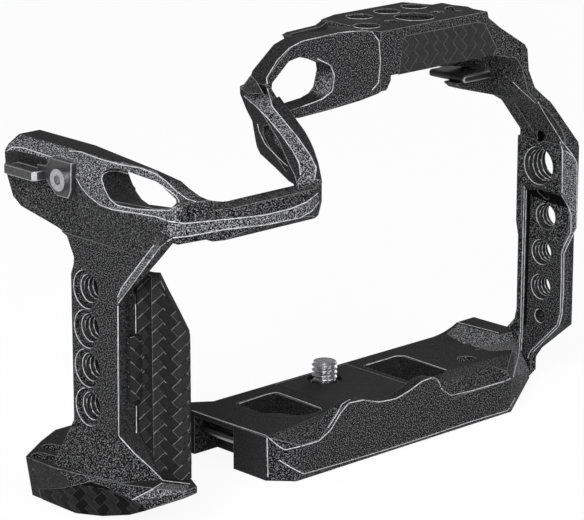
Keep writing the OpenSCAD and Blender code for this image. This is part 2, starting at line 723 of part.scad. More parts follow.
module shoulder() {
    color("#26272a") difference() {
        intersection() {
            union() {
                slab_xz(-base_front, -shoulder_top_y) polygon(fit([top_right,
                    side_in + side_wall, split_z, top_z], shoulder_shares));
                slab_xz(-shelf_front, -shelf_rear) polygon(fit([shelf_left,
                    side_in + side_wall, split_z, shelf_z], shelf_shares));
            }
            slab_xy(-far, far) polygon([[-far, -base_front], [top_right, -base_front],
                [top_right + fascia_h, -shoulder_front],
                [top_right + fascia_h * 2, -side_front], [far, -side_front],
                [far, -side_rear], [-far, -side_rear]]);
        }
        // room for the tongue and its screw
        tongue_room();
        slab_xz(-base_front - over, -base_front + inlay_t) polygon([[top_right - over, top_z],
            [top_right - over, top_z - fascia_h], [inlay_right, top_z - fascia_h],
            [inlay_right, top_z]]);
        hole_z(tongue_screw_x, -tongue_screw_y, split_z, shelf_z + over, tongue_tap_d);
    }
}

// Steel tongue that locks the cage to the camera's strap lug
tongue_right = 43.5;
tongue_over = 1.3;
tongue_mid = shelf_front + tongue_over - tongue_w / 2;
tongue_screw_y = (shelf_front + shelf_rear) / 2;
tongue_screw_x = 39.5;
tongue_tap_d = 2.5;
tongue_hole_d = 2.8;
tongue_room_gap = 0.15;
module tongue_room() {
    translate([tongue_left, -tongue_mid - tongue_w / 2 - tongue_room_gap, shelf_z])
        cube([tongue_right + tongue_room_gap - tongue_left, tongue_w + tongue_room_gap * 2,
            tongue_t * 3]);
}

module lug_tongue() {
    color("#b9bbbe") difference() {
        union() {
            translate([tongue_left + tongue_t / 2, -tongue_mid - tongue_w / 2, shelf_z])
                cube([tongue_right - tongue_left - tongue_t / 2, tongue_w, tongue_t]);
            translate([tongue_left + tongue_t / 2, -tongue_mid - tongue_w / 2,
                shelf_z + tongue_t / 2]) rotate([-90, 0, 0])
                cylinder(h = tongue_w, d = tongue_t, $fn = round_fn);
        }
        hole_z(tongue_screw_x, -tongue_screw_y, shelf_z - over, shelf_z + tongue_t + over,
            tongue_hole_d);
        hole_z(tongue_screw_x, -tongue_screw_y, shelf_z + tongue_t - tongue_screw_head_t,
            shelf_z + tongue_t + over, tongue_sink_d);
    }
}

// Screw of the tongue, sunk flush
tongue_screw_head_t = 1.1;
tongue_screw_l = 3;
module tongue_screw() {
    color("#8d9095") union() {
        hole_z(tongue_screw_x, -tongue_screw_y, shelf_z + tongue_t - tongue_screw_head_t,
            shelf_z + tongue_t, tongue_screw_d);
        hole_z(tongue_screw_x, -tongue_screw_y, shelf_z - tongue_screw_l, shelf_z + tongue_t,
            tongue_tap_d);
    }
}

// Side column: jogged plate with a channel, outline in Y and Z as shares
column_side_shares = [[0, 0.65], [0.036, 0.592], [0.036, 0.302], [0.12, 0.255], [0.63, 0.135],
    [0.7, 0.1], [0.7, 0.04], [0.76, 0], [1, 0], [1, 1], [0, 1]];
jog_z = [27.5, 31.5];
channel_z = [38.4, 41.6];
side_thin = 3.9;
side_inset = 0.9;
top_lean = 0.4;
foot_flare_y = 6.9;
boss_front = 22.6;
boss_low = 5;
boss_high = 1.5;
channel_rear = 11.5;
jog_in = 1.3;
side_hole_d = 3.4;
last_hole_share = 2.85;
flare_step = 0.9;

module side_column() {
    color("#26272a") difference() {
        intersection() {
            union() {
                slab_xz(-far, far) polygon([[side_in, -base_h], [side_in + side_thin, -base_h],
                    [side_in + side_thin, jog_z[0]], [side_in + side_wall, jog_z[1]],
                    [side_in + side_wall, split_z - boss_high],
                    [side_in + side_wall - top_lean, split_z], [side_in, split_z]]);
                // boss that carries the threads
                slab_xz(-boss_front, far) polygon([[side_in, -boss_low],
                    [side_in + side_thin, -boss_low], [side_in + side_boss_t, boss_low],
                    [side_in + side_boss_t, split_z - boss_high],
                    [side_in + side_wall - top_lean, split_z], [side_in, split_z]]);
            }
            union() {
                slab_yz(-far, far) polygon(fit([-side_front, -side_rear, -base_h, split_z],
                    column_side_shares));
                // rear edge that spreads to the curb
                slab_yz(-far, curb_end) polygon([[-side_rear, curb_h], [-foot_flare_y, curb_h],
                    [-side_rear + flare_step, curb_h * 2], [-side_rear, curb_h * 4]]);
            }
        }
        under_corner();
        // inner face set back below the jog
        slab_xz(-far, far) polygon([[side_in - over, -far], [side_in - over, jog_z[1]],
            [side_in, jog_z[1]], [side_in + side_inset, jog_z[0]], [side_in + side_inset, curb_h],
            [side_in, curb_h], [side_in, -far]]);
        // channel, deeper above the jog
        slab_xz(-far, -channel_rear) polygon([[side_in - over, channel_z[1]],
            [side_in, channel_z[1]], [side_in + channel_depth + jog_in, channel_z[0]],
            [side_in + channel_depth + jog_in, jog_z[1]],
            [side_in + channel_depth, jog_z[0]], [side_in + channel_depth, -far],
            [side_in - over, -far]]);
        hole_x(side_in - over, far, -side_hole_y, side_big_z, big_hole_d);
        for (k = [0:2]) hole_x(side_in - over, far, -side_hole_y,
            side_hole_z - k * hole_pitch, small_hole_d);
        hole_x(side_in - over, far, -side_hole_y, side_hole_z - hole_pitch * last_hole_share,
            side_hole_d);
    }
}

// Soft grip pad wrapped round the camera's grip, plan as shares of its width and depth
pad_in = 70.4;
pad_front = 32.1;
pad_plan_shares = [[0, 1], [0, 0.372], [0.134, 0.234], [0.341, 0.13], [0.61, 0.034],
    [0.768, 0], [0.902, 0.027], [1, 0.065], [0.841, 0.13], [0.61, 0.195], [0.402, 0.295],
    [0.317, 0.425], [0.317, 1]];
pad_tab_z = [18.6, 33.5];
pad_tab_w = 2.8;
pad_tab_t = 1;
pad_face_shares = [[-1.5, 0], [-1.5, 1], [0.36, 1], [0.78, 0.724], [2, 0.3], [2, 0]];
pad_face_w = 15;
pad_turn = -50;

module grip_pad() {
    color("#232324") difference() {
        union() {
            intersection() {
                slab_xy(soft_gap, pad_h) polygon(fit([-grip_x + grip_wall + soft_gap, -pad_in,
                    -pad_front, -grip_rear], pad_plan_shares));
                translate([-grip_x + grip_wall, -grip_front, 0]) rotate([0, 0, pad_turn])
                    slab_xz(-far, far)
                    polygon(fit([0, pad_face_w, 0, pad_h], pad_face_shares));
            }
            // tab that grips the column's front face
            translate([-grip_x + grip_wall - pad_tab_w, -grip_front - soft_gap - pad_tab_t,
                pad_tab_z[0]]) cube([pad_tab_w + soft_gap * 3, pad_tab_t,
                pad_tab_z[1] - pad_tab_z[0]]);
        }
        flare(soft_gap);
    }
}

// Rubber pad round the camera screw
module seat_pad() {
    color("#1c1c1d") difference() {
        translate([-seat_pad_w / 2 + inlay_gap,
            base_rear - soft_gap * 4 - seat_pad_d + inlay_gap, -seat_pad_t])
            cube([seat_pad_w - inlay_gap * 2, seat_pad_d - inlay_gap * 2, seat_pad_t]);
        hole_z(0, 0, -seat_pad_t - over, over, screw_ring_d);
    }
}

// Captive camera screw with its slotted head
slot_t = 1.2;
slot_deep = 1;
screw_tip = 0.6;
module camera_screw() {
    color("#c9cbce") difference() {
        union() {
            hole_z(0, 0, -base_h + head_bore_depth - washer_gap - washer_t - screw_head_t,
                -base_h + head_bore_depth - washer_gap - washer_t, screw_head_d);
            hole_z(0, 0, -base_h + head_bore_depth - washer_gap - washer_t - screw_tip,
                screw_tip, shank_d);
            hole_z(0, 0, 0, screw_reach - screw_tip, screw_d);
            translate([0, 0, screw_reach - screw_tip])
                cylinder(h = screw_tip, d1 = screw_d, d2 = screw_d - screw_tip * 2,
                    $fn = round_fn);
        }
        translate([-screw_head_d, -slot_t / 2, -base_h + head_bore_depth - washer_gap - washer_t
            - screw_head_t - over]) cube([screw_head_d * 2, slot_t, slot_deep + over]);
    }
}

// Thin washer under the counterbore's roof, which rises and falls with the screw
module screw_washer() {
    color("#9a9da1") difference() {
        hole_z(0, 0, -base_h + head_bore_depth - washer_gap - washer_t,
            -base_h + head_bore_depth - washer_gap, screw_head_d);
        hole_z(0, 0, -base_h, over, shank_d + screw_gap * 2);
    }
}

// Strap bracket: plate outline in Y and Z as shares of its length and height
strap_shares = [[0, 1], [0.03, 0.22], [0.12, 0], [0.45, 0], [0.68, 0.26], [0.75, 0.4],
    [1, 0.4], [1, 0.72], [0.75, 0.75], [0.6, 1]];
strap_head_l = 6.4;
strap_plate_l = 12;
strap_h = 8.2;
strap_bore_d = 2.8;
loop_bar = 1.5;
loop_clear = 0.3;
loop_h = 2.2;
loop_z = 66.6;

module strap_outline(grow, t) {
    slab_yz(-grip_x - arm_lean - t + strap_seat_t, -grip_x - arm_lean + strap_seat_t)
        polygon(fit([-strap_y - strap_head_l / 2 - grow, -strap_y - strap_head_l / 2
            + strap_plate_l + grow, strap_z - strap_h / 2 - grow, strap_z + strap_h / 2 + grow],
            strap_shares));
}

module strap_bracket() {
    color("#6c6e72") difference() {
        union() {
            strap_outline(0, strap_t);
            // loop that stands out from the arm
            translate([-grip_x - arm_lean - loop_reach, -strap_y + strap_head_l, loop_z])
                difference() {
                    cube([loop_reach + strap_seat_t - loop_clear, loop_l + loop_bar * 2, loop_h]);
                    translate([loop_bar, loop_bar, -over])
                        cube([loop_reach - loop_bar, loop_l, loop_h + over * 2]);
                }
        }
        hole_x(-far, 0, -strap_y, strap_z, strap_bore_d);
    }
}

// Socket screw of the strap bracket
strap_head_t = 1.4;
strap_screw_l = 3.4;
socket_d = 2.4;
socket_depth = 1;
module strap_screw() {
    color("#c9cbce") difference() {
        union() {
            hole_x(-grip_x - arm_lean + strap_seat_t - strap_t - strap_head_t,
                -grip_x - arm_lean + strap_seat_t - strap_t, -strap_y, strap_z, strap_head_d);
            hole_x(-grip_x - arm_lean + strap_seat_t - strap_t,
                -grip_x - arm_lean + strap_screw_l, -strap_y, strap_z, strap_tap_d);
        }
        translate([-grip_x - arm_lean + strap_seat_t - strap_t - strap_head_t - over,
            -strap_y, strap_z]) rotate([0, 90, 0])
            cylinder(h = socket_depth + over, d = socket_d, $fn = 6);
    }
}

// Stored key in its bore across the tool recess, and the magnet that holds it
key_hex_l = 7;
module stored_key() {
    color("#a7a9ac") translate([key_x, key_y0, -key_z]) rotate([-90, 0, 0]) union() {
        cylinder(h = key_l - key_hex_l, d = key_d, $fn = round_fn);
        translate([0, 0, key_l - key_hex_l])
            cylinder(h = key_hex_l, d = key_d, $fn = 6);
    }
}

module key_magnet() {
    color("#8d9095") translate([key_x, key_y0 - key_magnet_l - key_gap, -key_z])
        rotate([-90, 0, 0]) cylinder(h = key_magnet_l, d = key_d, $fn = round_fn);
}

base_plate();
handle_neck();
handle_foot();
handle_column();
ring_arm();
ring_front_arm();
bridge_bar();
eyelet_plate();
top_plate();
shoulder();
side_column();
grip_pad();
foot_inlay();
fascia_inlay();
seat_pad();
camera_screw();
screw_washer();
strap_bracket();
strap_screw();
stored_key();
key_magnet();
lug_tongue();
tongue_screw();
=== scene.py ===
"""Camera cage: looks, floor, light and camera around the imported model."""
from math import atan2, cos, floor, pi, radians, sin, sqrt

import bmesh
import bpy
from mathutils import Matrix, Vector
from mathutils.bvhtree import BVHTree


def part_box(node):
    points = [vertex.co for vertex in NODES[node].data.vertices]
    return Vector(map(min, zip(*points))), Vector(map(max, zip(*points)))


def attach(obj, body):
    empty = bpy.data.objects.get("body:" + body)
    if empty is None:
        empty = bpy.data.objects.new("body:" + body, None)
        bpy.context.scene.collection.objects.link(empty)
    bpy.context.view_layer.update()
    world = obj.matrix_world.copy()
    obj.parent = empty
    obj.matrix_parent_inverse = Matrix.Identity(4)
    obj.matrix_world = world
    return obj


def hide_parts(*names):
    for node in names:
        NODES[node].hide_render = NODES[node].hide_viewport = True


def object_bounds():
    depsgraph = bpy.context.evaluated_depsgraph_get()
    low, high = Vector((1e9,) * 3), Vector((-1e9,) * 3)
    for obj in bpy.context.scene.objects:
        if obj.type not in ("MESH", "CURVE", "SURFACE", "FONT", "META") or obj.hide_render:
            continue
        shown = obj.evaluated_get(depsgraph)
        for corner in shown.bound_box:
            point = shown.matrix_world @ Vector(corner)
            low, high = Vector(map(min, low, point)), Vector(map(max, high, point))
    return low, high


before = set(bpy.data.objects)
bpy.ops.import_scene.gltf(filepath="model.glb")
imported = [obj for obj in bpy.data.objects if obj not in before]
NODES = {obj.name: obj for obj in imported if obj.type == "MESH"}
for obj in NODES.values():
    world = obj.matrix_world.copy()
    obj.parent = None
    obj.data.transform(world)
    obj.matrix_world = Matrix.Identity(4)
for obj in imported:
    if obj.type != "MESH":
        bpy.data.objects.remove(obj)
cad_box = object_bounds()

MM = 0.001
INCH = 25.4
MEMBERS = ["base_plate", "handle_neck", "handle_foot", "handle_column", "ring_arm",
           "ring_front_arm", "bridge_bar", "eyelet_plate", "top_plate", "shoulder",
           "side_column"]

# threads in mm: radius, pitch, depth
QUARTER_INCH = (3.175, INCH / 20, 0.55)
THREE_EIGHTHS = (4.75, INCH / 16, 0.7)
# places of the threaded holes in mm
HOLE_PITCH = 9.15
HANDLE_HOLE_Y = -11.3
HANDLE_HOLE_ROWS = [14.9 + HOLE_PITCH * k for k in range(4)]
SIDE_HOLE_Y = -16.9
TOP_Z = 92.5
TOP_REAR_Y, TOP_FRONT_Y = -11.55, -20.7
TOP_REAR_ROW = (0, HOLE_PITCH, HOLE_PITCH * 2)
TOP_FRONT_LEFT_X, TOP_FRONT_RIGHT_X = -6.588, 24.065


# ---------------------------------------------------------------- camera
# a lens of 180 mm on a 36 mm sensor is 2920 pixels of the 584 pixel wide picture
TURN, TILT = radians(43.1), radians(15.9)
EYE = Vector((-0.474167, -0.494961, 0.225661))
AHEAD = Vector((sin(TURN) * cos(TILT), cos(TURN) * cos(TILT), -sin(TILT)))
RIGHT = Vector((cos(TURN), -sin(TURN), 0))
UP = Vector((sin(TURN) * sin(TILT), cos(TURN) * sin(TILT), cos(TILT)))
FOCAL, MID_X, MID_Y = 2920, 292, 260
X, Y, Z = range(3)


def sight(px, py):
    """The direction from the camera through a point of its picture."""
    return (AHEAD * FOCAL + RIGHT * (px - MID_X) + UP * (MID_Y - py)).normalized()


def to_picture(point):
    """Where a point falls in the camera's picture."""
    away = point - EYE
    deep = away.dot(AHEAD)
    return MID_X + FOCAL * away.dot(RIGHT) / deep, MID_Y - FOCAL * away.dot(UP) / deep


def make_camera():
    """The camera that the pixels in this file belong to."""
    data = bpy.data.cameras.new("camera")
    data.lens, data.sensor_width, data.clip_start = 180, 36, 0.01
    camera = bpy.data.objects.new("camera", data)
    camera.matrix_world = Matrix.Translation(EYE) @ \
        Matrix((RIGHT, UP, -AHEAD)).transposed().to_4x4()
    bpy.context.scene.collection.objects.link(camera)
    bpy.context.scene.camera = camera


# ---------------------------------------------------------------- materials
class Shader:
    """A material with helpers that add nodes and join them."""

    def __init__(self, name):
        self.material = bpy.data.materials.new(name)
        self.material.use_nodes = True
        self.tree = self.material.node_tree
        self.surface = self.tree.nodes["Principled BSDF"]
        self.where = self.add("ShaderNodeTexCoord").outputs["Object"]

    def add(self, kind, **values):
        node = self.tree.nodes.new(kind)
        for key, value in values.items():
            if hasattr(node, key):
                setattr(node, key, value)
            else:
                node.inputs[key.replace("_", " ")].default_value = value
        return node

    def join(self, out, socket):
        self.tree.links.new(out, socket)

    def set(self, **values):
        for key, value in values.items():
            self.surface.inputs[key.replace("_", " ")].default_value = value

    def noise(self, scale, detail=2.0, rough=0.5):
        node = self.add("ShaderNodeTexNoise", Scale=scale, Detail=detail, Roughness=rough)
        self.join(self.where, node.inputs["Vector"])
        return node.outputs["Fac"]

    def ramp(self, value, stops):
        """Greys, a touch blue, at their places along a value from 0 to 1."""
        node = self.add("ShaderNodeValToRGB")
        band = node.color_ramp
        while len(band.elements) < len(stops):
            band.elements.new(0.5)
        for element, (place, grey) in zip(band.elements, stops):
            element.position = place
            element.color = (grey, grey, grey * 1.03, 1)
        self.join(value, node.inputs["Fac"])
        return node.outputs["Color"]

    def span(self, value, low, high, to_low=0.0, to_high=1.0):
        node = self.add("ShaderNodeMapRange")
        for key, number in zip(("From Min", "From Max", "To Min", "To Max"),
                               (low, high, to_low, to_high)):
            node.inputs[key].default_value = number
        self.join(value, node.inputs["Value"])
        return node.outputs["Result"]

    def mix(self, factor, first, second):
        node = self.add("ShaderNodeMix", data_type="RGBA")
        self.join(factor, node.inputs["Factor"])
        self.join(first, node.inputs["A"])
        self.join(second, node.inputs["B"])
        return node.outputs["Result"]

    def bump(self, height, strength, distance):
        node = self.add("ShaderNodeBump", Strength=strength, Distance=distance)
        self.join(height, node.inputs["Height"])
        self.join(node.outputs["Normal"], self.surface.inputs["Normal"])

    def rise(self):
        """How far the surface looks up, from -1 to 1."""
        normal = self.add("ShaderNodeNewGeometry").outputs["Normal"]
        split = self.add("ShaderNodeSeparateXYZ")
        self.join(normal, split.inputs["Vector"])
        return split.outputs["Z"]


def blasted_black(name, kind):
    """Black anodised aluminium with fine pale grains, and painted light and shade.

    The grain is the blasted texture; how pale it is on a face is painted light.
    kind is side for faces painted in shade, lit for faces painted lit, or auto,
    where faces that look up a little are painted lit, level ones get a dimmer
    grain painted as the darker tops, and faces that look sideways or down are
    painted in shade.
    """
    s = Shader(name)
    s.set(Metallic=0.0, Specular_IOR_Level=0.05)
    grain = s.noise(3500, 0.5, 0.5)
    low = s.ramp(grain, [(0.40, 0.002), (0.49, 0.008), (0.57, 0.045), (0.68, 0.15)])
    lit = s.ramp(grain, [(0.37, 0.004), (0.46, 0.024), (0.56, 0.12), (0.67, 0.30)])
    top = s.ramp(grain, [(0.35, 0.006), (0.55, 0.018), (0.72, 0.050)])
    # painted light and shade by how a face looks: lit grain when it looks up a little, shaded
    # grain sideways and down, dim grain on level tops
    if kind == "auto":
        rise = s.rise()
        side = s.mix(s.span(rise, 0.04, 0.30), low, lit)
        colour = s.mix(s.span(rise, 0.72, 0.94), side, top)
    else:
        colour = low if kind == "side" else lit
    s.join(colour, s.surface.inputs["Base Color"])
    s.join(s.span(s.noise(700, 3.0), 0.3, 0.7, 0.62, 0.76), s.surface.inputs["Roughness"])
    s.bump(grain, 0.35, 0.00006)
    return s.material


def painted_shade_black():
    """The same black with a dim grain, painted shade for faces the light misses and for the
    inside of holes.
    """
    s = Shader("painted_shade_black")
    s.set(Metallic=0.0, Specular_IOR_Level=0.06)
    grain = s.noise(4300, 1.0, 0.5)
    s.join(s.ramp(grain, [(0.35, 0.005), (0.53, 0.016), (0.72, 0.060)]),
           s.surface.inputs["Base Color"])
    s.join(s.span(s.noise(700, 3.0), 0.3, 0.7, 0.5, 0.65), s.surface.inputs["Roughness"])
    s.bump(grain, 0.3, 0.00006)
    return s.material


def painted_edge_highlight(name, low, middle, high):
    """Painted highlights on the thin edges of the frame."""
    s = Shader(name)
    s.set(Metallic=0.0, Specular_IOR_Level=0.3)
    s.join(s.ramp(s.noise(1500, 3.0, 0.7), [(0.3, low), (0.5, middle), (0.7, high)]),
           s.surface.inputs["Base Color"])
    s.join(s.span(s.noise(900), 0.3, 0.7, 0.35, 0.5), s.surface.inputs["Roughness"])
    return s.material


def rubber(name, low, high, rough=0.6):
    """Matt rubber or plastic with a fine grain between two greys."""
    s = Shader(name)
    s.set(Specular_IOR_Level=0.05)
    fine = s.noise(2600, 3.0, 0.6)
    s.join(s.ramp(fine, [(0.35, low), (0.65, high)]), s.surface.inputs["Base Color"])
    s.join(s.span(s.noise(500), 0.3, 0.7, rough - 0.06, rough + 0.06),
           s.surface.inputs["Roughness"])
    s.bump(fine, 0.2, 0.00005)
    return s.material


def steel(name, low, high, rough, metallic=1.0, stretch=(1, 1, 1)):
    """Steel, brushed along the axis that stretch makes short."""
    s = Shader(name)
    s.set(Metallic=metallic)
    mapping = s.add("ShaderNodeMapping")
    mapping.inputs["Scale"].default_value = stretch
    s.join(s.where, mapping.inputs["Vector"])
    s.where = mapping.outputs["Vector"]
    brush = s.noise(1200, 4.0, 0.65)
    s.join(s.ramp(brush, [(0.3, low), (0.7, high)]), s.surface.inputs["Base Color"])
    s.join(s.span(s.noise(600), 0.3, 0.7, rough - 0.08, rough + 0.08),
           s.surface.inputs["Roughness"])
    s.bump(brush, 0.1, 0.00003)
    return s.material


# the frame's black with painted light and shade: shaded by how faces look, painted in shade, and
# painted lit
METAL = blasted_black("blasted_black", "auto")
SIDE = blasted_black("blasted_shaded", "side")
LIT = blasted_black("blasted_lit", "lit")
# black with painted shade, for faces the light misses and the inside of holes
PAINTED_SHADE = painted_shade_black()
# near-black painted deep shade, inside a small bore and under the side column's step
DEEP_SHADE = rubber("painted_deep_shade", 0.001, 0.004, 0.9)
# a dim painted highlight on the frame's rounded crests
EDGE_HIGHLIGHT = painted_edge_highlight("painted_edge_highlight", 0.04, 0.09, 0.18)
# a bright painted highlight for the chamfer lines, the hole rims and the thread crests
LINE_HIGHLIGHT = painted_edge_highlight("painted_highlight_line", 0.20, 0.42, 0.62)
RUBBER_DARK = rubber("rubber_dark", 0.005, 0.012)
# strands of the grip pad's woven rubber, one way painted lit and the other painted in shade, and
# a painted highlight on the flanks that face the light
RUBBER_LIT = rubber("rubber_lit_strand", 0.012, 0.023, 0.6)
RUBBER_DIM = rubber("rubber_shaded_strand", 0.007, 0.014, 0.6)
RUBBER_HIGHLIGHT = rubber("rubber_flank_highlight", 0.10, 0.20, 0.5)
# the foot patch's strands, one way painted lit and the other painted in shade on the black
# rubber, and a painted highlight on the flanks that face the light
PATCH_LIT = rubber("patch_lit_strand", 0.008, 0.015, 0.5)
PATCH_DARK = rubber("patch_black_and_shaded_strand", 0.001, 0.003, 0.5)
PATCH_HIGHLIGHT = rubber("patch_flank_highlight", 0.03, 0.06, 0.5)
INLAY = rubber("inlay_ground", 0.016, 0.028, 0.5)
# painted highlight on the flanks of the inlay's weave that face the light
INLAY_HIGHLIGHT = rubber("inlay_flank_highlight", 0.06, 0.11, 0.5)
SEAT = rubber("seat_rubber", 0.016, 0.026, 0.65)
BRIGHT = steel("bright_steel", 0.32, 0.55, 0.34)
BRACKET = steel("bracket_steel", 0.04, 0.09, 0.40, 0.7, (0.2, 1, 1))
# painted highlights on the bracket's cut corners and on the rounded crests of the bracket and
# tongue
BRACKET_CORNER_HIGHLIGHT = steel("bracket_corner_highlight", 0.45, 0.70, 0.35, 0.9, (0.2, 1, 1))
STEEL_EDGE_HIGHLIGHT = steel("steel_edge_highlight", 0.25, 0.45, 0.35, 0.9, (0.2, 1, 1))
PLAIN = steel("plain_steel", 0.16, 0.28, 0.35, 1.0, (1, 0.1, 1))
TONGUE_TOP = steel("tongue_black", 0.006, 0.016, 0.5, 0.2)


# ---------------------------------------------------------------- meshes
def object_of(name, bm):
    """Turns a mesh in the making into an object and frees it."""
    data = bpy.data.meshes.new(name)
    bm.to_mesh(data)
    bm.free()
    return bpy.data.objects.new(name, data)


def welded(name):
    """A welded copy of a node's mesh."""
    bm = bmesh.new()
    bm.from_mesh(NODES[name].data)
    bmesh.ops.remove_doubles(bm, verts=bm.verts, dist=0.002 * MM)
    return bm


def solid_of(name):
    """A welded copy of a node's mesh, with flat faces joined."""
    bm = welded(name)
    bmesh.ops.dissolve_limit(bm, angle_limit=radians(0.4), verts=bm.verts, edges=bm.edges)
    return bm


def piece(name, bm, body, materials, replaced, smooth):
    """Turns a mesh into a piece on a body, with edges sharp from an angle in degrees."""
    bm.normal_update()
    obj = object_of(name, bm)
    for material in materials:
        obj.data.materials.append(material)
    bpy.context.scene.collection.objects.link(obj)
    obj.data.shade_smooth()
    obj.data.set_sharp_from_angle(angle=radians(smooth))
    obj.modifiers.new("even_normals", "WEIGHTED_NORMAL").keep_sharp = True
    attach(obj, body)
    if replaced:
        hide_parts(*replaced)


def round_crests(bm, least, width, material, steps=2):
    """Rounds the convex edges whose faces turn by more than an angle in degrees."""
    bm.normal_update()
    crests = [e for e in bm.edges if len(e.link_faces) == 2 and e.is_convex
              and e.calc_face_angle(0) > radians(least)]
    bmesh.ops.bevel(bm, geom=crests, offset=width * MM, segments=steps,
                    profile=0.6, affect="EDGES", clamp_overlap=False, material=material)


def united(names, added, cutters):
    """The named nodes and the added solids as one closed mesh, less the cutters."""
    parts = [object_of("member", welded(name)) for name in names] + added
    group = bpy.data.collections.new("members")
    bpy.context.scene.collection.children.link(group)
    first, others = parts[0], parts[1:]
    bpy.context.scene.collection.objects.link(first)
    for other in others:
        group.objects.link(other)
    join = first.modifiers.new("join", "BOOLEAN")
    join.operation, join.solver, join.operand_type = "UNION", "EXACT", "COLLECTION"
    join.collection = group
    for cutter in cutters:
        bpy.context.scene.collection.objects.link(cutter)
        cut = first.modifiers.new("cut", "BOOLEAN")
        cut.operation, cut.solver, cut.object = "DIFFERENCE", "EXACT", cutter
    bpy.context.view_layer.update()
    result = first.evaluated_get(bpy.context.evaluated_depsgraph_get())
    bm = bmesh.new()
    bm.from_mesh(result.to_mesh())
    result.to_mesh_clear()
    for obj in parts + cutters:
        bpy.data.objects.remove(obj)
    bpy.data.collections.remove(group)
    return bm


def ring_grid(bm, rows, around, closed=True):
    """Joins rows of points that run round an axis into faces."""
    verts = [[bm.verts.new(p) for p in row] for row in rows]
    pairs = list(zip(range(len(rows)), range(1, len(rows))))
    if closed:
        pairs.append((len(rows) - 1, 0))
    return [bm.faces.new((verts[a][k], verts[a][(k + 1) % around],
                          verts[b][(k + 1) % around], verts[b][k]))
            for a, b in pairs for k in range(around)]


def close_ends(bm, around):
    """Closes a tube whose first and last rings are the mesh's first and last vertices."""
    verts = list(bm.verts)
    bm.faces.new(reversed(verts[:around]))
    bm.faces.new(verts[-around:])


def capped(bm, low, high):
    """Joins two outlines of vertices into a closed prism."""
    bm.faces.new(low)
    bm.faces.new(reversed(high))
    for k in range(len(low)):
        n = (k + 1) % len(low)
        bm.faces.new((low[n], low[k], high[k], high[n]))
    bmesh.ops.recalc_face_normals(bm, faces=bm.faces)


def prism(bm, outline, low_z, high_z):
    """An upright prism over an outline in mm."""
    low, high = [[bm.verts.new(Vector((x, y, z)) * MM) for x, y in outline]
                 for z in (low_z, high_z)]
    capped(bm, low, high)


def wedge(corners, near, far):
    """A solid whose outline is drawn in the camera's picture, between two depths."""
    bm = bmesh.new()
    low, high = [[bm.verts.new(EYE + sight(*c) * (depth / sight(*c).dot(AHEAD)))
                  for c in corners] for depth in (near, far)]
    capped(bm, low, high)
    return object_of("wedge", bm)


def slab(corners, axis, plane, thick):
    """A plate whose outline is drawn in the picture and laid on an upright or level plane."""
    bm = bmesh.new()
    low, high = [], []
    for corner in corners:
        ray = sight(*corner)
        place = EYE + ray * ((plane - EYE[axis]) / ray[axis])
        low.append(bm.verts.new(place))
        place[axis] += thick * MM
        high.append(bm.verts.new(place))
    capped(bm, low, high)
    return object_of("slab", bm)


def inside(spot, corners):
    """True where a point of the picture lies in a polygon."""
    x, y = spot
    odd = False
    for (ax, ay), (bx, by) in zip(corners, corners[1:] + corners[:1]):
        if (ay > y) != (by > y) and x < (bx - ax) * (y - ay) / (by - ay) + ax:
            odd = not odd
    return odd


def meets(face, corners):
    """True where a face's box in the picture meets the box round some points of it."""
    spots = [to_picture(v.co) for v in face.verts]
    return all(min(p[k] for p in spots) <= max(c[k] for c in corners)
               and max(p[k] for p in spots) >= min(c[k] for c in corners) for k in (0, 1))


def bisected(bm, faces, spot, normal, dist):
    """Cuts faces by a plane and returns those that they become."""
    geom = set(faces)
    for f in faces:
        geom.update(f.edges)
        geom.update(f.verts)
    cut = bmesh.ops.bisect_plane(bm, geom=list(geom), dist=dist, plane_co=spot,
                                 plane_no=normal)
    return [g for g in cut["geom"] if isinstance(g, bmesh.types.BMFace)]


def tone_area(bm, corners, painted_tone):
    """Cuts the faces seen in a polygon of the picture along its sides and gives them a tone of
    painted light or shade.
    """
    def near(face):
        return face.normal.dot(EYE - face.calc_center_median()) > 0 and meets(face, corners)

    part = bmesh.ops.triangulate(bm, faces=[f for f in bm.faces if near(f)])["faces"]
    part = [f for f in part if near(f)]
    for a, b in zip(corners, corners[1:] + corners[:1]):
        touched = [f for f in part if meets(f, (a, b))]
        if touched:
            rest = set(part) - set(touched)
            part = list(rest) + bisected(bm, touched, EYE,
                                         sight(*a).cross(sight(*b)).normalized(), 1e-7)
    bm.normal_update()
    tree = BVHTree.FromBMesh(bm)
    for f in part:
        if not f.is_valid or f.calc_area() == 0:
            continue
        middle = f.calc_center_median()
        if inside(to_picture(middle), corners):
            hit = tree.ray_cast(EYE, (middle - EYE).normalized())[0]
            if hit is not None and (hit - middle).length < 0.3 * MM:
                f.material_index = PAINTED_TONES.index(painted_tone)


# the arm's front end runs down into the front arm in one line
ARM_END = [(163, 169.6), (178, 178.4), (190, 189), (200, 196.3), (208, 199.8), (216, 201.2),
           (224, 201.6), (224, 180), (163, 150)]
# the slot is cut away below, where the wall is thin
ARM_SLOT = [(134.5, 181), (137, 178.5), (150, 180.5), (158, 182.5), (176, 199.5), (176.5, 203),
            (172, 207.5), (149, 204.5), (142, 199.5), (136, 191)]
# fills that close notches between the members
EYE_FOOT = [(298, 118.5), (330, 110), (360, 101), (378, 94), (386, 88), (388, 82), (370, 84),
            (340, 95), (298, 108)]
EYE_BROW = [(281, 35), (286, 32), (315, 25), (321, 20.5), (323, 27), (290, 39)]
TOP_NOTCH = [(452, 4.6), (468, 6.4), (474, 9), (470, 11.5), (455, 10)]
EYE_HEEL = [(240.8, 88.5), (250.5, 75), (256, 80), (264, 94), (248, 94)]
COLUMN_FOOT = [(516, 316.5), (506.5, 327), (500, 333.5), (504, 337), (519, 340), (519, 316)]
ARM_CORNER = [(206, 200), (213.5, 200.6), (226, 201), (240, 199.6), (262, 194.5), (285, 189),
              (285, 195), (240, 206), (206, 212)]
TOP_LIP = [(441, 57), (489, 45), (494, 66), (487, 70.5), (466, 67), (452, 66), (441, 66.8)]
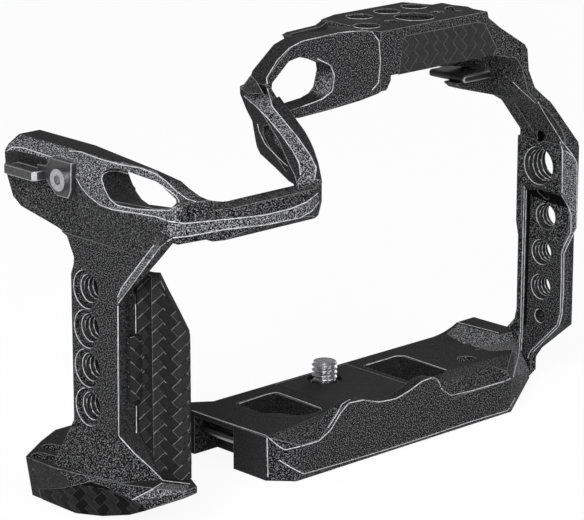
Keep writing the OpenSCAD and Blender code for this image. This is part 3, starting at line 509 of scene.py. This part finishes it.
# painted light and shade of the frame in the order of its materials, and the areas of the picture
# painted with each
PAINTED_TONES = ["auto", "edge", "shade", "side", "lit", "deep_shade"]
PAINTED_TONE_AREAS = [
    ("lit", [(7, 151), (12.5, 147), (24, 148), (45, 155), (63, 160.5), (70, 166), (75, 176),
         (81, 187), (89, 196.5), (100, 205), (112, 209.5), (135, 213), (155, 216.5),
         (170, 221.5), (180, 223), (183, 206), (176, 191), (166, 181), (155, 173.5),
         (140, 168), (120, 164.5), (100, 159), (80, 151.5), (66, 147), (45, 141), (20, 135)]),
    ("side", [(199, 202), (257, 196), (322, 180), (318, 193), (307, 202), (290, 209), (265, 215),
         (240, 218), (200, 222), (180, 223), (183, 206), (187, 199)]),
    ("lit", [(172.5, 238), (190, 236), (225, 229.5), (265, 225), (300, 218), (312, 211),
         (319, 202), (318, 193), (307, 202), (290, 209), (265, 215), (240, 218), (200, 222),
         (185, 223.5), (172, 222), (160, 232)]),
    ("side", [(172.5, 238), (190, 236), (225, 229.5), (265, 225), (300, 218), (312, 211),
         (319, 202), (323, 202), (322, 212), (312, 222), (250, 237), (172, 246)]),
    ("lit", [(161, 246), (146, 266), (126, 293), (118.5, 303), (117.5, 297), (122, 287),
         (137, 267), (154, 245)]),
    ("lit", [(243, 95), (255, 105.5), (267.5, 118), (280, 133), (292.5, 150.5), (299, 163),
         (300.5, 175), (314.5, 179), (316.5, 168), (310, 155), (297.5, 137), (285, 122),
         (272.5, 107), (267, 94), (254, 92)]),
    ("shade", [(267, 88), (272.5, 107), (285, 122), (297.5, 137), (310, 155), (316.5, 168),
         (314.5, 179), (322, 180), (324, 160), (300, 122), (285, 104), (272, 92)]),
    ("shade", [(236, 92), (282, 33), (320, 19), (382, 18), (372, 30), (364, 29), (340, 31),
         (302.5, 39.5), (290, 46), (276, 60), (265, 79), (267, 92), (254, 92), (243, 95)]),
    ("shade", [(118.6, 306), (126, 294), (137, 282), (137, 436), (134, 451), (119, 436)]),
    # painted deep shade: inside the small bore, and the shadow under the step below the large
    # hole and down beside the channel's wall
    ("deep_shade", [(535, 136), (536.5, 132.5), (539, 131), (542.5, 132), (544.3, 136), (543.8, 140.5),
         (541.5, 143), (538, 142), (535.8, 139.5)]),
    ("deep_shade", [(527, 189.5), (538, 190), (550, 192.5), (561.5, 196.7), (568.5, 206), (566, 207.5),
         (555, 204.5), (545, 201), (536, 197.5), (531, 194.5), (529.5, 230), (528, 280),
         (526, 325), (523.7, 325), (525.2, 280), (526.6, 230)]),
    ("shade", [(2, 160), (9, 152.5), (15, 150.8), (30, 153.5), (46, 158.5), (47, 164), (38, 171),
         (10, 166)]),
    ("shade", [(240, 89), (250, 74), (257, 79), (266, 94), (254, 93), (248, 95.5)]),
    ("shade", [(26, 458), (33, 498), (42, 501), (40, 492), (60, 488), (72, 484), (58, 470)]),
    ("lit", [(446, 334), (458, 324), (499, 334.5), (512, 333), (515, 350), (490, 351),
         (462, 343)]),
    ("side", [(268, 436), (335, 408), (337, 414), (330.7, 430), (319, 441), (285, 450),
         (279, 446.5)]),
    ("side", [(441, 376), (447, 371), (515, 352), (513, 377), (505, 381), (470.7, 391),
         (451, 395.5), (442, 389.5), (438, 380)]),
    ("lit", [(562.4, 150), (566, 151), (574, 157), (577, 163), (577, 190), (576.5, 228),
         (567, 247), (563.5, 247), (571, 232), (571, 214), (569, 208), (562, 196)]),
    ("lit", [(163, 483), (132, 500.5), (186, 494), (189, 485.5)]),
    ("shade", [(101.5, 173), (100.5, 179), (104, 191), (109, 200.5), (117, 206), (135, 208.8),
         (155, 210), (170, 210), (177.5, 206), (180, 201), (175, 194.5), (160, 184),
         (150, 179), (135, 175.5), (120, 171), (110, 170)]),
    ("shade", [(237, 404), (271, 392.6), (277, 391.9), (323, 408.5), (319, 414), (303, 418.5),
         (296, 417.5), (276, 417), (262, 413)]),
    ("shade", [(364, 366), (396.4, 355.5), (405, 355.5), (447, 370), (428, 380), (424, 383),
         (404, 380)]),
    ("shade", [(119, 436), (137, 430), (150, 445), (164, 481), (148.6, 466.5), (134, 453.5)]),
    ("shade", [(243, 95), (255, 105.5), (267.5, 118), (280, 133), (292.5, 150.5), (299, 163),
         (300.5, 175), (295, 186), (262, 158), (248, 125), (236, 97)]),
]
# holes with a painted highlight on their rim: middle, axis, radius
HIGHLIGHT_RIMS = [((-84, HANDLE_HOLE_Y, z), X, 4.38) for z in HANDLE_HOLE_ROWS] + \
       [((-82.85, HANDLE_HOLE_Y, z), X, 3.2) for z in HANDLE_HOLE_ROWS] + \
       [((x, SIDE_HOLE_Y, z), X, radius) for x, z, radius in (
           (58.1, 47.3, 4.85), (61.3, 33.5, 3.27), (60, 24.35, 3.27), (60, 15.2, 3.27),
           (60, 7.42, 1.8))] + \
       [((HOLE_PITCH, TOP_FRONT_Y, TOP_Z), Z, 4.85)] + \
       [((x, TOP_REAR_Y, TOP_Z), Z, 3.27) for x in TOP_REAR_ROW] + \
       [((TOP_FRONT_LEFT_X, TOP_FRONT_Y, TOP_Z), Z, 3.27)]


def bore(start, length, radius, around=32):
    """A round cutter along X."""
    bm = bmesh.new()
    circle = [(radius * cos(2 * pi * k / around), radius * sin(2 * pi * k / around))
              for k in range(around)]
    rows = [[Vector((start[X] + along, start[Y] + y, start[Z] + z)) * MM for y, z in circle]
            for along in (0, length)]
    ring_grid(bm, rows, around, closed=False)
    close_ends(bm, around)
    bmesh.ops.recalc_face_normals(bm, faces=bm.faces)
    return object_of("bore", bm)


def deep_at(corner, axis, plane):
    """How deep a point of the picture lies, if it is on a plane square to an axis."""
    ray = sight(*corner)
    return (plane - EYE[axis]) / ray[axis] * ray.dot(AHEAD)


def first_painted_tone(face):
    """The painted light or shade of a face of the frame before the areas are painted over it."""
    x, y, z = face.calc_center_median() / MM
    n = face.normal
    # painted shade where the light misses: the arm's outer flank and the base's left end, then
    # the low handle and the right side
    loop_flank = -70 < x < -28 and z > 60 and y > -32 and n.x < -0.45 and n.y > -0.6
    base_end = n.x < -0.8 and -60 < x < -30 and z < 2
    if loop_flank or base_end:
        return "shade"
    low_handle = x < -66 and z < 62
    right_side = x > 40 and z > 2
    return "side" if (low_handle or right_side) and n.z < 0.85 else "auto"


def make_cage():
    """The frame as one piece: members joined, notches filled, painted light and shade on its
    faces, and crests rounded with a painted highlight.
    """
    sunk = 0.03 * MM
    front_y, back_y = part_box("eyelet_plate")[0][Y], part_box("eyelet_plate")[1][Y]
    added = [slab(EYE_FOOT, Y, front_y + sunk, 5.2),
             slab(EYE_BROW, Y, back_y - sunk, -2),
             slab(TOP_LIP, Y, -9.7 * MM, 3),
             slab(ARM_CORNER, Z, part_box("ring_front_arm")[1][Z] - sunk, -3),
             slab(TOP_NOTCH, Z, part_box("top_plate")[1][Z] - sunk, -1.2)]
    for corners, axis, plane in ((EYE_HEEL, Y, front_y),
                                 (COLUMN_FOOT, X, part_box("side_column")[0][X])):
        deep = deep_at(corners[2], axis, plane)
        added.append(wedge(corners, deep + 0.2 * MM, deep + 4 * MM))
    before, behind = 0.3, 1.1
    bm = united(MEMBERS, added, [wedge(ARM_END, before, behind), wedge(ARM_SLOT, before, behind),
                                 bore((50, SIDE_HOLE_Y, 54.9), 13, 1.5),
                                 bore((50, SIDE_HOLE_Y, 39.6), 14, 1.5)])
    bmesh.ops.remove_doubles(bm, verts=bm.verts, dist=0.02 * MM)
    bmesh.ops.dissolve_limit(bm, angle_limit=radians(0.5), verts=bm.verts, edges=bm.edges)
    bm.normal_update()
    # each face gets its painted light or shade, then the areas of the picture are painted over it
    for face in bm.faces:
        face.material_index = PAINTED_TONES.index(first_painted_tone(face))
    for painted_tone, corners in PAINTED_TONE_AREAS:
        tone_area(bm, corners, painted_tone)
    # the crests are rounded and painted with a highlight
    round_crests(bm, 48, 0.14, PAINTED_TONES.index("edge"))
    bmesh.ops.remove_doubles(bm, verts=bm.verts, dist=0.01 * MM)
    tree = BVHTree.FromBMesh(bm)
    piece("cage_frame", bm, "frame", [METAL, EDGE_HIGHLIGHT, PAINTED_SHADE, SIDE, LIT, DEEP_SHADE],
          MEMBERS, 40)
    draw_highlight_lines(tree)


# Painted highlights where the light catches the frame's chamfers, as points of the camera's
# picture laid on the frame
HIGHLIGHT_LINES = [
    # rim over the strap recess, then down and along the front arm
    [(7, 151), (12.5, 147), (24, 148), (45, 155), (63, 160.5), (70, 166), (75, 176), (81, 187),
     (89, 196.5), (100, 205), (112, 209.5), (135, 213), (155, 216.5), (170, 221.5), (185, 223.5),
     (200, 222), (240, 218), (265, 215), (290, 209), (307, 202), (318, 193)],
    # rim of the arm's slot
    [(103, 174), (101.5, 179), (105, 190), (110, 199.5), (117.5, 205.5), (135, 209),
     (155, 210.3), (170, 210.3), (177, 206), (179.3, 201), (175, 195), (160, 184.3),
     (150, 179.5), (135, 175.8), (120, 171.5), (110, 170.8), (103, 174)],
    # border between the arm's top and its face
    [(69, 151), (80, 151.5), (100, 159), (120, 164.5), (140, 168), (155, 173.5), (166, 181),
     (176, 191), (187, 199), (199, 202.5)],
    # lower line of the front arm, and down the handle's front corner
    [(319, 202), (312, 211), (300, 218), (265, 225), (225, 229.5), (190, 236), (172.5, 238),
     (161, 246), (146, 266), (126, 293), (118.5, 303)],
    [(154, 245), (137, 267), (122, 287), (117.5, 297)],
    [(118, 306), (118, 368), (118.8, 436), (134, 453), (148.6, 466), (163, 480.5), (190, 484)],
    [(162, 483), (149, 491), (132, 500)],
    # eyelet border and the eye's rim
    [(267.5, 84), (266.3, 78), (277.5, 60), (290, 47.5), (302.5, 41), (340, 32.5), (364, 30.5),
     (372, 31.5), (379, 41), (380.5, 62), (378.5, 83), (372, 90)],
    [(317.5, 58.8), (330, 65), (334.5, 75), (332.5, 91), (322.5, 99), (302.5, 106.5)],
    # the bridge bar's band
    [(244, 96), (255, 105.5), (267.5, 118), (280, 133), (292.5, 150.5), (299, 163), (300.5, 175)],
    [(267, 88), (272.5, 107), (285, 122), (297.5, 137), (310, 155), (316.5, 168), (314.5, 179)],
    [(257.5, 124), (259, 131), (265, 144), (277.5, 157), (290, 168.5)],
    # front lip: two lines at its left end, then along the curb and land
    [(192, 410.5), (230, 423.5), (266, 435.5), (279, 446.5), (285, 450), (302, 446), (319, 441),
     (330.7, 430), (340.7, 413), (349, 403), (363.6, 400), (379, 402), (396.4, 398.6),
     (410.7, 390), (422, 381.4), (433, 377.3), (438, 380), (442, 389.5), (451, 395.5),
     (470.7, 391), (505, 381), (513, 377), (517, 362)],
    [(328, 428), (337, 414), (342, 404), (350, 399.5)],
    [(279, 460), (291, 467.5), (303.6, 474), (345, 462), (385, 450), (428, 436), (470.7, 421.6),
     (508, 410.3), (515, 398)],
    [(267, 438), (268, 477)],
    # rims of the pockets
    [(239, 403.6), (270.7, 393.2), (277, 392.3), (300, 400.3), (321, 408.3)],
    [(366, 365.3), (396.4, 355.9), (405, 355.9), (425, 362.7), (445.5, 369.6)],
    [(457, 322.2), (478, 327.5), (498.5, 332.8)],
    # edge beside the grip pad
    [(135.6, 304), (136, 338)],
    [(136.5, 406), (136.5, 433)],
    # side column: channel walls and the outer corner
    [(524.2, 186), (524, 200), (522.8, 240), (521.4, 290), (520.4, 330), (519.2, 352),
     (517.3, 362)],
    [(526.3, 190), (526, 204), (525, 240), (523.8, 290), (522.5, 330), (521, 352)],
    [(560, 142), (562.4, 150), (562.5, 175), (562, 196), (569, 208), (571, 214), (571, 232),
     (563.5, 247), (561.5, 253), (561.3, 280), (560.2, 313), (557, 325), (530, 351.5),
     (527.8, 358)],
    [(566, 151), (574, 157), (577, 163), (577, 190), (576.5, 228), (567, 247), (564, 254),
     (563.6, 290), (562.2, 313), (559, 326), (533, 352)],
    [(513, 82), (522, 91), (528, 96), (535.5, 103)],
    [(538, 102), (546, 116), (555, 130), (563, 143), (573, 155)],
]


def draw_highlight_lines(tree, height=0.07, sunk=0.06):
    """Lays a thin closed strip with a painted highlight on the frame under each line and round
    each rim.
    """
    bm = bmesh.new()
    # section of a strip: shares of its width, and heights in mm
    shape = ((-0.5, -sunk), (0.5, -sunk), (0.5, 0.3 * height), (0.22, height),
             (-0.22, height), (-0.5, 0.3 * height))
    pixels_apart, largest_step = 1.5, 1.6 * MM

    def strip(places, normals, width):
        count = len(places)
        rows = []
        for k, (spot, normal) in enumerate(zip(places, normals)):
            ahead = places[min(k + 1, count - 1)] - places[max(k - 1, 0)]
            side = normal.cross(ahead).normalized()
            rows.append([bm.verts.new(spot + side * (u * width * MM) + normal * (v * MM))
                         for u, v in shape])
        for a, b in zip(rows, rows[1:]):
            for k in range(len(shape)):
                n = (k + 1) % len(shape)
                bm.faces.new((a[k], a[n], b[n], b[k]))
        bm.faces.new(reversed(rows[0]))
        bm.faces.new(rows[-1])

    for points in HIGHLIGHT_LINES:
        spots = []
        for (ax, ay), (bx, by) in zip(points, points[1:]):
            count = max(1, round(((bx - ax) ** 2 + (by - ay) ** 2) ** 0.5 / pixels_apart))
            spots += [(ax + (bx - ax) * k / count, ay + (by - ay) * k / count)
                      for k in range(count)]
        spots.append(points[-1])
        runs, last = [[]], None
        for spot in spots:
            place, normal, _, _ = tree.ray_cast(EYE, sight(*spot))
            if place is None or (last is not None and (place - last).length > largest_step):
                runs.append([])
            if place is not None:
                runs[-1].append((place, normal))
            last = place
        for run in runs:
            if len(run) < 3:
                continue
            places = [r[0] for r in run]
            soft = [places[0]] + [(a + b * 2 + c) / 4 for a, b, c in
                                  zip(places, places[1:], places[2:])] + [places[-1]]
            strip(soft, [r[1] for r in run], 0.25)
    # the painted highlight on a rim is an arc of 180 degrees on upright faces, and of 130 on
    # level ones
    for middle, axis, radius in HIGHLIGHT_RIMS:
        normal = Vector((-1, 0, 0)) if axis == X else Vector((0, 0, 1))
        one, two = Vector((0, 1, 0)), normal.cross(Vector((0, 1, 0)))
        start = radians(-75 if axis == X else 70)
        angles = [start + radians(5) * k for k in range(37 if axis == X else 27)]
        strip([(Vector(middle) + (one * cos(a) + two * sin(a)) * radius) * MM for a in angles],
              [normal] * len(angles), 0.17)
    bmesh.ops.recalc_face_normals(bm, faces=bm.faces)
    piece("painted_chamfer_highlights", bm, "frame", [LINE_HIGHLIGHT], (), 60)


# ---------------------------------------------------------------- threads
def thread_height(turn):
    """Height of a thread flank, 0 at the root and 1 at the crest."""
    ramp = 1 - abs(2 * (turn - floor(turn)) - 1)
    return min(1, max(0, ramp * 1.3 - 0.15))


def inner_thread(bm, start, axis, radius, length, pitch, depth):
    """A closed sleeve with a thread on its inner side, from start along axis."""
    around, steps = 48, max(8, round(length / pitch * 10))
    axis = Vector(axis)
    side = axis.orthogonal().normalized()
    other = axis.cross(side)
    origin = Vector(start)

    def point(angle, along, r):
        return (origin + axis * along + (side * cos(angle) + other * sin(angle)) * r) * MM

    angles = [2 * pi * k / around for k in range(around)]
    rows, crest = [], []
    for i in range(steps + 1):
        along = length * i / steps
        # the thread runs out over a third of a turn at both ends
        fade = min(1, along / (0.3 * pitch), (length - along) / (0.3 * pitch))
        heights = [thread_height(along / pitch - a / (2 * pi)) * fade for a in angles]
        crest.append(heights)
        rows.append([point(a, along, radius - depth * h - 0.02)
                     for a, h in zip(angles, heights)])
    outer = radius + 0.05
    rows.append([point(a, length, outer) for a in angles])
    rows.append([point(a, 0, outer) for a in angles])
    faces = ring_grid(bm, rows, around)
    # the crests get the painted highlight, the rest of the sleeve painted shade
    for i in range(steps):
        for k in range(around):
            if min(crest[i][k], crest[i + 1][k]) > 0.8:
                faces[i * around + k].material_index = 1


def make_threads():
    """A threaded sleeve in each accessory hole, painted in shade with a painted highlight on the
    thread's crests.
    """
    bm = bmesh.new()
    inward, down = (1, 0, 0), (0, 0, -1)
    top = TOP_Z - 0.3

    def sleeve(start, axis, length, size):
        radius, pitch, depth = size
        inner_thread(bm, start, axis, radius, length, pitch, depth)

    for z in HANDLE_HOLE_ROWS:
        sleeve((-82.8, HANDLE_HOLE_Y, z), inward, 3.7, QUARTER_INCH)
    sleeve((58.4, SIDE_HOLE_Y, 47.3), inward, 7.2, THREE_EIGHTHS)
    for x, z, length in ((61.5, 33.5, 4.1), (60.2, 24.35, 5.4), (60.2, 15.2, 5.4)):
        sleeve((x, SIDE_HOLE_Y, z), inward, length, QUARTER_INCH)
    sleeve((HOLE_PITCH, TOP_FRONT_Y, top), down, 5.4, THREE_EIGHTHS)
    for x in TOP_REAR_ROW:
        sleeve((x, TOP_REAR_Y, top), down, 5.4, QUARTER_INCH)
    sleeve((TOP_FRONT_LEFT_X, TOP_FRONT_Y, top), down, 5.4, QUARTER_INCH)
    sleeve((TOP_FRONT_RIGHT_X, TOP_FRONT_Y, top - 1.2), down, 4.2, QUARTER_INCH)
    bmesh.ops.recalc_face_normals(bm, faces=bm.faces)
    piece("hole_threads", bm, "frame", [PAINTED_SHADE, LINE_HIGHLIGHT], (), 50)


def make_camera_screw():
    """Threaded screw with its shank and slotted head."""
    bm = bmesh.new()
    around, steps = 64, 48
    crest, pitch, _ = QUARTER_INCH
    head, shank, root, tip = 4.3, 2.8, 2.52, 0.5
    angles = [2 * pi * k / around for k in range(around)]
    head_top, low, top = -5.4, -0.2, 4.6
    rows = []

    def row(z, radii):
        rows.append([Vector((r * cos(a), r * sin(a), z)) * MM for r, a in zip(radii, angles)])

    row(head_top, [shank] * around)
    row(low, [shank] * around)
    for i in range(steps + 1):
        z = low + 0.05 + (top - low - 0.05) * i / steps
        fade = min(1, (z - low) / 0.8)
        limit = crest - max(0, z - (top - tip)) * 0.8
        row(z, [min(limit, root + (crest - root) * fade
                    * thread_height(z / pitch - a / (2 * pi))) for a in angles])
    ring_grid(bm, rows, around, closed=False)
    close_ends(bm, around)
    # the head: two half discs with the slot between them, under a full disc
    slot_half, web_z, bottom_z = 0.6, -6.4, -7.4
    first = atan2(slot_half, sqrt(head ** 2 - slot_half ** 2))
    arc = [first + k * (pi - 2 * first) / 24 for k in range(25)]
    for sign in (1, -1):
        prism(bm, [(head * cos(a), sign * head * sin(a)) for a in arc], bottom_z, web_z)
    prism(bm, [(head * cos(a), head * sin(a)) for a in angles], web_z, head_top)
    bmesh.ops.recalc_face_normals(bm, faces=bm.faces)
    piece("camera_screw_threaded", bm, "screw", [BRIGHT],
          ["camera_screw"], 40)


# ---------------------------------------------------------------- woven faces
# of four cells along a diagonal, two share a strand that rises and two one that falls
STRANDS = ((0, 0, 0), (-1, 0, 0), (0, 0, 1), (0, 1, 1))


def plait(bm, faces, place, cell, gap, rise, tones, line):
    """Cuts faces into a herringbone of strands and raises each a little.

    place(face) gives the face's own directions: an origin, the direction along
    the surface, its running length at the origin, and the direction up it.
    tones are the materials of rising strands, falling strands and gaps; on the pad and
    patch the strands are lit and shaded copies, painted light. line is the painted
    highlight on the flanks that catch the light.
    """
    step = cell * sqrt(2) * MM
    groups = {}
    placed = [(face, *place(face)) for face in faces]
    for face, origin, along, start, up in placed:
        part = [face]
        for sign in (1, -1):
            # lines where (s + sign * z) / step is a whole number
            normal = (along + up * sign).normalized()
            values = [((v.co - origin).dot(along) + start
                       + sign * (v.co - origin).dot(up)) / step
                      for f in part for v in f.verts]
            for k in range(floor(min(values)), floor(max(values)) + 2):
                shift = (k * step - start) / sqrt(2)
                part = bisected(bm, part, origin + normal * shift, normal, 1e-8)
        for f in part:
            spot = f.calc_center_median() - origin
            s, z = spot.dot(along) + start, spot.dot(up)
            a, b = floor((s + z) / step), floor((z - s) / step)
            over, below, way = STRANDS[(a - b) % 4]
            groups.setdefault((a + over, b + below, way), []).append((f, along, up))
    for (_, _, way), members in groups.items():
        region = [m[0] for m in members if m[0].is_valid]
        along, up = members[0][1:]
        for f in region:
            f.material_index = tones[way]
        if sum(f.calc_area() for f in region) < (gap * 3 * MM) ** 2:
            continue
        made = bmesh.ops.inset_region(bm, faces=region, thickness=gap * MM, depth=rise * MM,
                                      use_boundary=True, use_even_offset=True)
        middle = sum((f.calc_center_median() for f in region), Vector()) / len(region)
        # the flanks that face the light get the painted highlight, the others the gap material
        for f in made["faces"]:
            away = f.calc_center_median() - middle
            rising = away.dot(along) + away.dot(up)
            falling = away.dot(up) - away.dot(along)
            if way == 0:
                lit = rising < 0 if abs(rising) > abs(falling) else falling > 0
            else:
                lit = falling > 0 and abs(falling) > abs(rising)
            f.material_index = line if lit else tones[2]


def run_round(chosen, anchor):
    """Running length along the plan of upright faces, counted from the face nearest anchor."""
    order = sorted(chosen, key=lambda f: (f.calc_center_median().xy - anchor.xy).length)
    up = Vector((0, 0, 1))
    table, length, last = {}, 0.0, anchor.copy()
    for f in order:
        along = up.cross(f.normal).normalized()
        if along.dot(f.calc_center_median() - last) < 0:
            along = -along
        reach = [(v.co - last).dot(along) for v in f.verts]
        table[f] = (Vector((last.x, last.y, 0)), along, length, up)
        length += max(reach)
        far_vert = max(f.verts, key=lambda v: (v.co - last).dot(along))
        last = Vector((far_vert.co.x, far_vert.co.y, 0))
    return table


def make_grip_pad():
    """The handle's rubber pad with its woven outer side."""
    bm = solid_of("grip_pad")
    bm.normal_update()
    view = Vector((-0.62, -0.78, 0))
    outer = [f for f in bm.faces if abs(f.normal.z) < 0.3 and f.normal.dot(view) > 0.3
             and f.calc_area() > 4e-6 and f.calc_center_median().y < -22.3 * MM]
    table = run_round(outer, Vector((-78.6, -22.4, 0)) * MM)
    # the strands get painted light and shade by direction, and the flanks that face the light a
    # painted highlight
    plait(bm, outer, lambda f: table[f], 3.35 / sqrt(2), 0.10, 0.14, (1, 2, 3), 4)
    piece("grip_pad_woven", bm, "frame",
          [RUBBER_DARK, RUBBER_LIT, RUBBER_DIM, RUBBER_DARK, RUBBER_HIGHLIGHT],
          ["grip_pad"], 35)


def make_foot_patch():
    """The foot's rubber patch."""
    bm = solid_of("foot_inlay")
    bm.normal_update()
    outer = [f for f in bm.faces if f.normal.x < -0.5 and f.calc_area() > 2e-6
             and f.normal.z < -0.1]

    def place(face):
        up = (Vector((0, 0, 1)) - face.normal * face.normal.z).normalized()
        along = up.cross(face.normal).normalized()
        if along.y < 0:
            along = -along
        return Vector((-88 * MM, -9 * MM, 0)), along, 0.0, up

    # the strands get painted light and shade by direction, and the flanks that face the light a
    # painted highlight
    plait(bm, outer, place, 2.1, 0.08, 0.10, (1, 2, 0), 3)
    piece("foot_patch_woven", bm, "frame",
          [PATCH_DARK, PATCH_LIT, PATCH_DARK, PATCH_HIGHLIGHT], ["foot_inlay"], 35)


def make_fascia_inlay():
    """The inlay in the top plate's front, left bare."""
    bm = solid_of("fascia_inlay")
    bm.normal_update()
    outer = [f for f in bm.faces if f.normal.y < -0.9]
    upright = Vector((0, 0, 85 * MM)), Vector((1, 0, 0)), 0.0, Vector((0, 0, 1))
    # the flanks that face the light get a painted highlight
    plait(bm, outer, lambda f: upright, 2.3, 0.07, 0.08, (0, 0, 0), 1)
    piece("fascia_inlay_woven", bm, "frame", [INLAY, INLAY_HIGHLIGHT],
          ["fascia_inlay"], 35)


def make_seat_pad():
    """The rubber pad round the camera screw."""
    bm = solid_of("seat_pad")
    round_crests(bm, 30, 0.15, 0)
    piece("seat_pad_soft", bm, "frame", [SEAT], ["seat_pad"], 40)


def make_bracket():
    """The strap bracket, with its loop's outer corners cut, and painted highlights on the cut
    corners and rounded crests.
    """
    bm = solid_of("strap_bracket")
    far = min(v.co.x for v in bm.verts) + 0.1 * MM
    corners = [e for e in bm.edges if max(v.co.x for v in e.verts) < far
               and abs(e.verts[0].co.z - e.verts[1].co.z) > 0.5 * MM
               and (e.verts[0].co.xy - e.verts[1].co.xy).length < 0.01 * MM]
    bmesh.ops.bevel(bm, geom=corners, offset=0.9 * MM, segments=1, profile=0.5,
                    affect="EDGES", material=2)
    bm.normal_update()
    round_crests(bm, 50, 0.22, 1, 3)
    piece("strap_bracket_soft", bm, "frame",
          [BRACKET, STEEL_EDGE_HIGHLIGHT, BRACKET_CORNER_HIGHLIGHT], ["strap_bracket"], 40)


def make_tongue():
    """The tongue under the top plate, with its crests rounded and painted with a highlight."""
    bm = solid_of("lug_tongue")
    round_crests(bm, 50, 0.4, 1, 3)
    piece("lug_tongue_soft", bm, "frame", [TONGUE_TOP, STEEL_EDGE_HIGHLIGHT],
          ["lug_tongue"], 40)


def dress_small_parts():
    """Materials for the nodes that show their own solids."""
    for name, material in (("screw_washer", PLAIN), ("strap_screw", BRIGHT),
                           ("stored_key", PLAIN), ("key_magnet", PLAIN),
                           ("tongue_screw", TONGUE_TOP)):
        data = NODES[name].data
        data.materials.clear()
        data.materials.append(material)


# ---------------------------------------------------------------- stage and light
def make_stage():
    """A pale floor that glows to the camera and in reflections, and keeps a soft shadow."""
    bm = bmesh.new()
    half, z = 3.0, cad_box[0][Z] - 0.1 * MM
    bm.faces.new([bm.verts.new((x * half, y * half, z))
                  for x, y in ((-1, -1), (1, -1), (1, 1), (-1, 1))])
    ground = object_of("floor", bm)
    bpy.context.scene.collection.objects.link(ground)
    material = bpy.data.materials.new("pale_floor")
    material.use_nodes = True
    tree = material.node_tree
    tree.nodes.clear()
    add, join = tree.nodes.new, tree.links.new
    matt = add("ShaderNodeBsdfDiffuse")
    matt.inputs["Color"].default_value = (0.88, 0.88, 0.88, 1)
    glow = add("ShaderNodeEmission")
    glow.inputs["Strength"].default_value = 1.0
    path = add("ShaderNodeLightPath")
    seen, share = add("ShaderNodeMath"), add("ShaderNodeMath")
    seen.operation, share.operation = "ADD", "MULTIPLY"
    share.inputs[1].default_value = 0.92
    join(path.outputs["Is Camera Ray"], seen.inputs[0])
    join(path.outputs["Is Glossy Ray"], seen.inputs[1])
    join(seen.outputs[0], share.inputs[0])
    # the floor is clear from below, so that the underside can be looked at
    clear, geometry = add("ShaderNodeBsdfTransparent"), add("ShaderNodeNewGeometry")
    above, both = add("ShaderNodeMixShader"), add("ShaderNodeMixShader")
    for mix, factor, first, second in (
            (above, share.outputs[0], matt, glow),
            (both, geometry.outputs["Backfacing"], above, clear)):
        join(factor, mix.inputs["Fac"])
        join(first.outputs[0], mix.inputs[1])
        join(second.outputs[0], mix.inputs[2])
    join(both.outputs[0], add("ShaderNodeOutputMaterial").inputs["Surface"])
    ground.data.materials.append(material)


def make_light():
    """A dim even world and four round lamps, each aimed at the object."""
    world = bpy.data.worlds.new("studio")
    bpy.context.scene.world = world
    world.use_nodes = True
    background = world.node_tree.nodes["Background"]
    background.inputs["Color"].default_value = (1, 1, 1, 1)
    background.inputs["Strength"].default_value = 0.32
    target = Vector((0, -0.02, 0.04))
    for name, place, size, power in (
            ("key", (-0.70, -0.45, 0.50), 0.5, 8.6),
            ("front", (0.05, -0.95, 0.40), 0.6, 3.6),
            ("top", (-0.2, -0.3, 0.9), 0.6, 1.5),
            ("back", (0.9, 0.35, 0.35), 0.5, 2.0)):
        data = bpy.data.lights.new(name, "AREA")
        data.shape, data.size, data.energy = "DISK", size, power
        lamp = bpy.data.objects.new(name, data)
        lamp.location = place
        lamp.rotation_euler = (target - Vector(place)).to_track_quat("-Z", "Y").to_euler()
        bpy.context.scene.collection.objects.link(lamp)


make_camera()
make_cage()
make_threads()
make_camera_screw()
make_grip_pad()
make_foot_patch()
make_fascia_inlay()
make_seat_pad()
make_bracket()
make_tongue()
dress_small_parts()
make_stage()
make_light()
bpy.context.scene.view_settings.view_transform = "Standard"
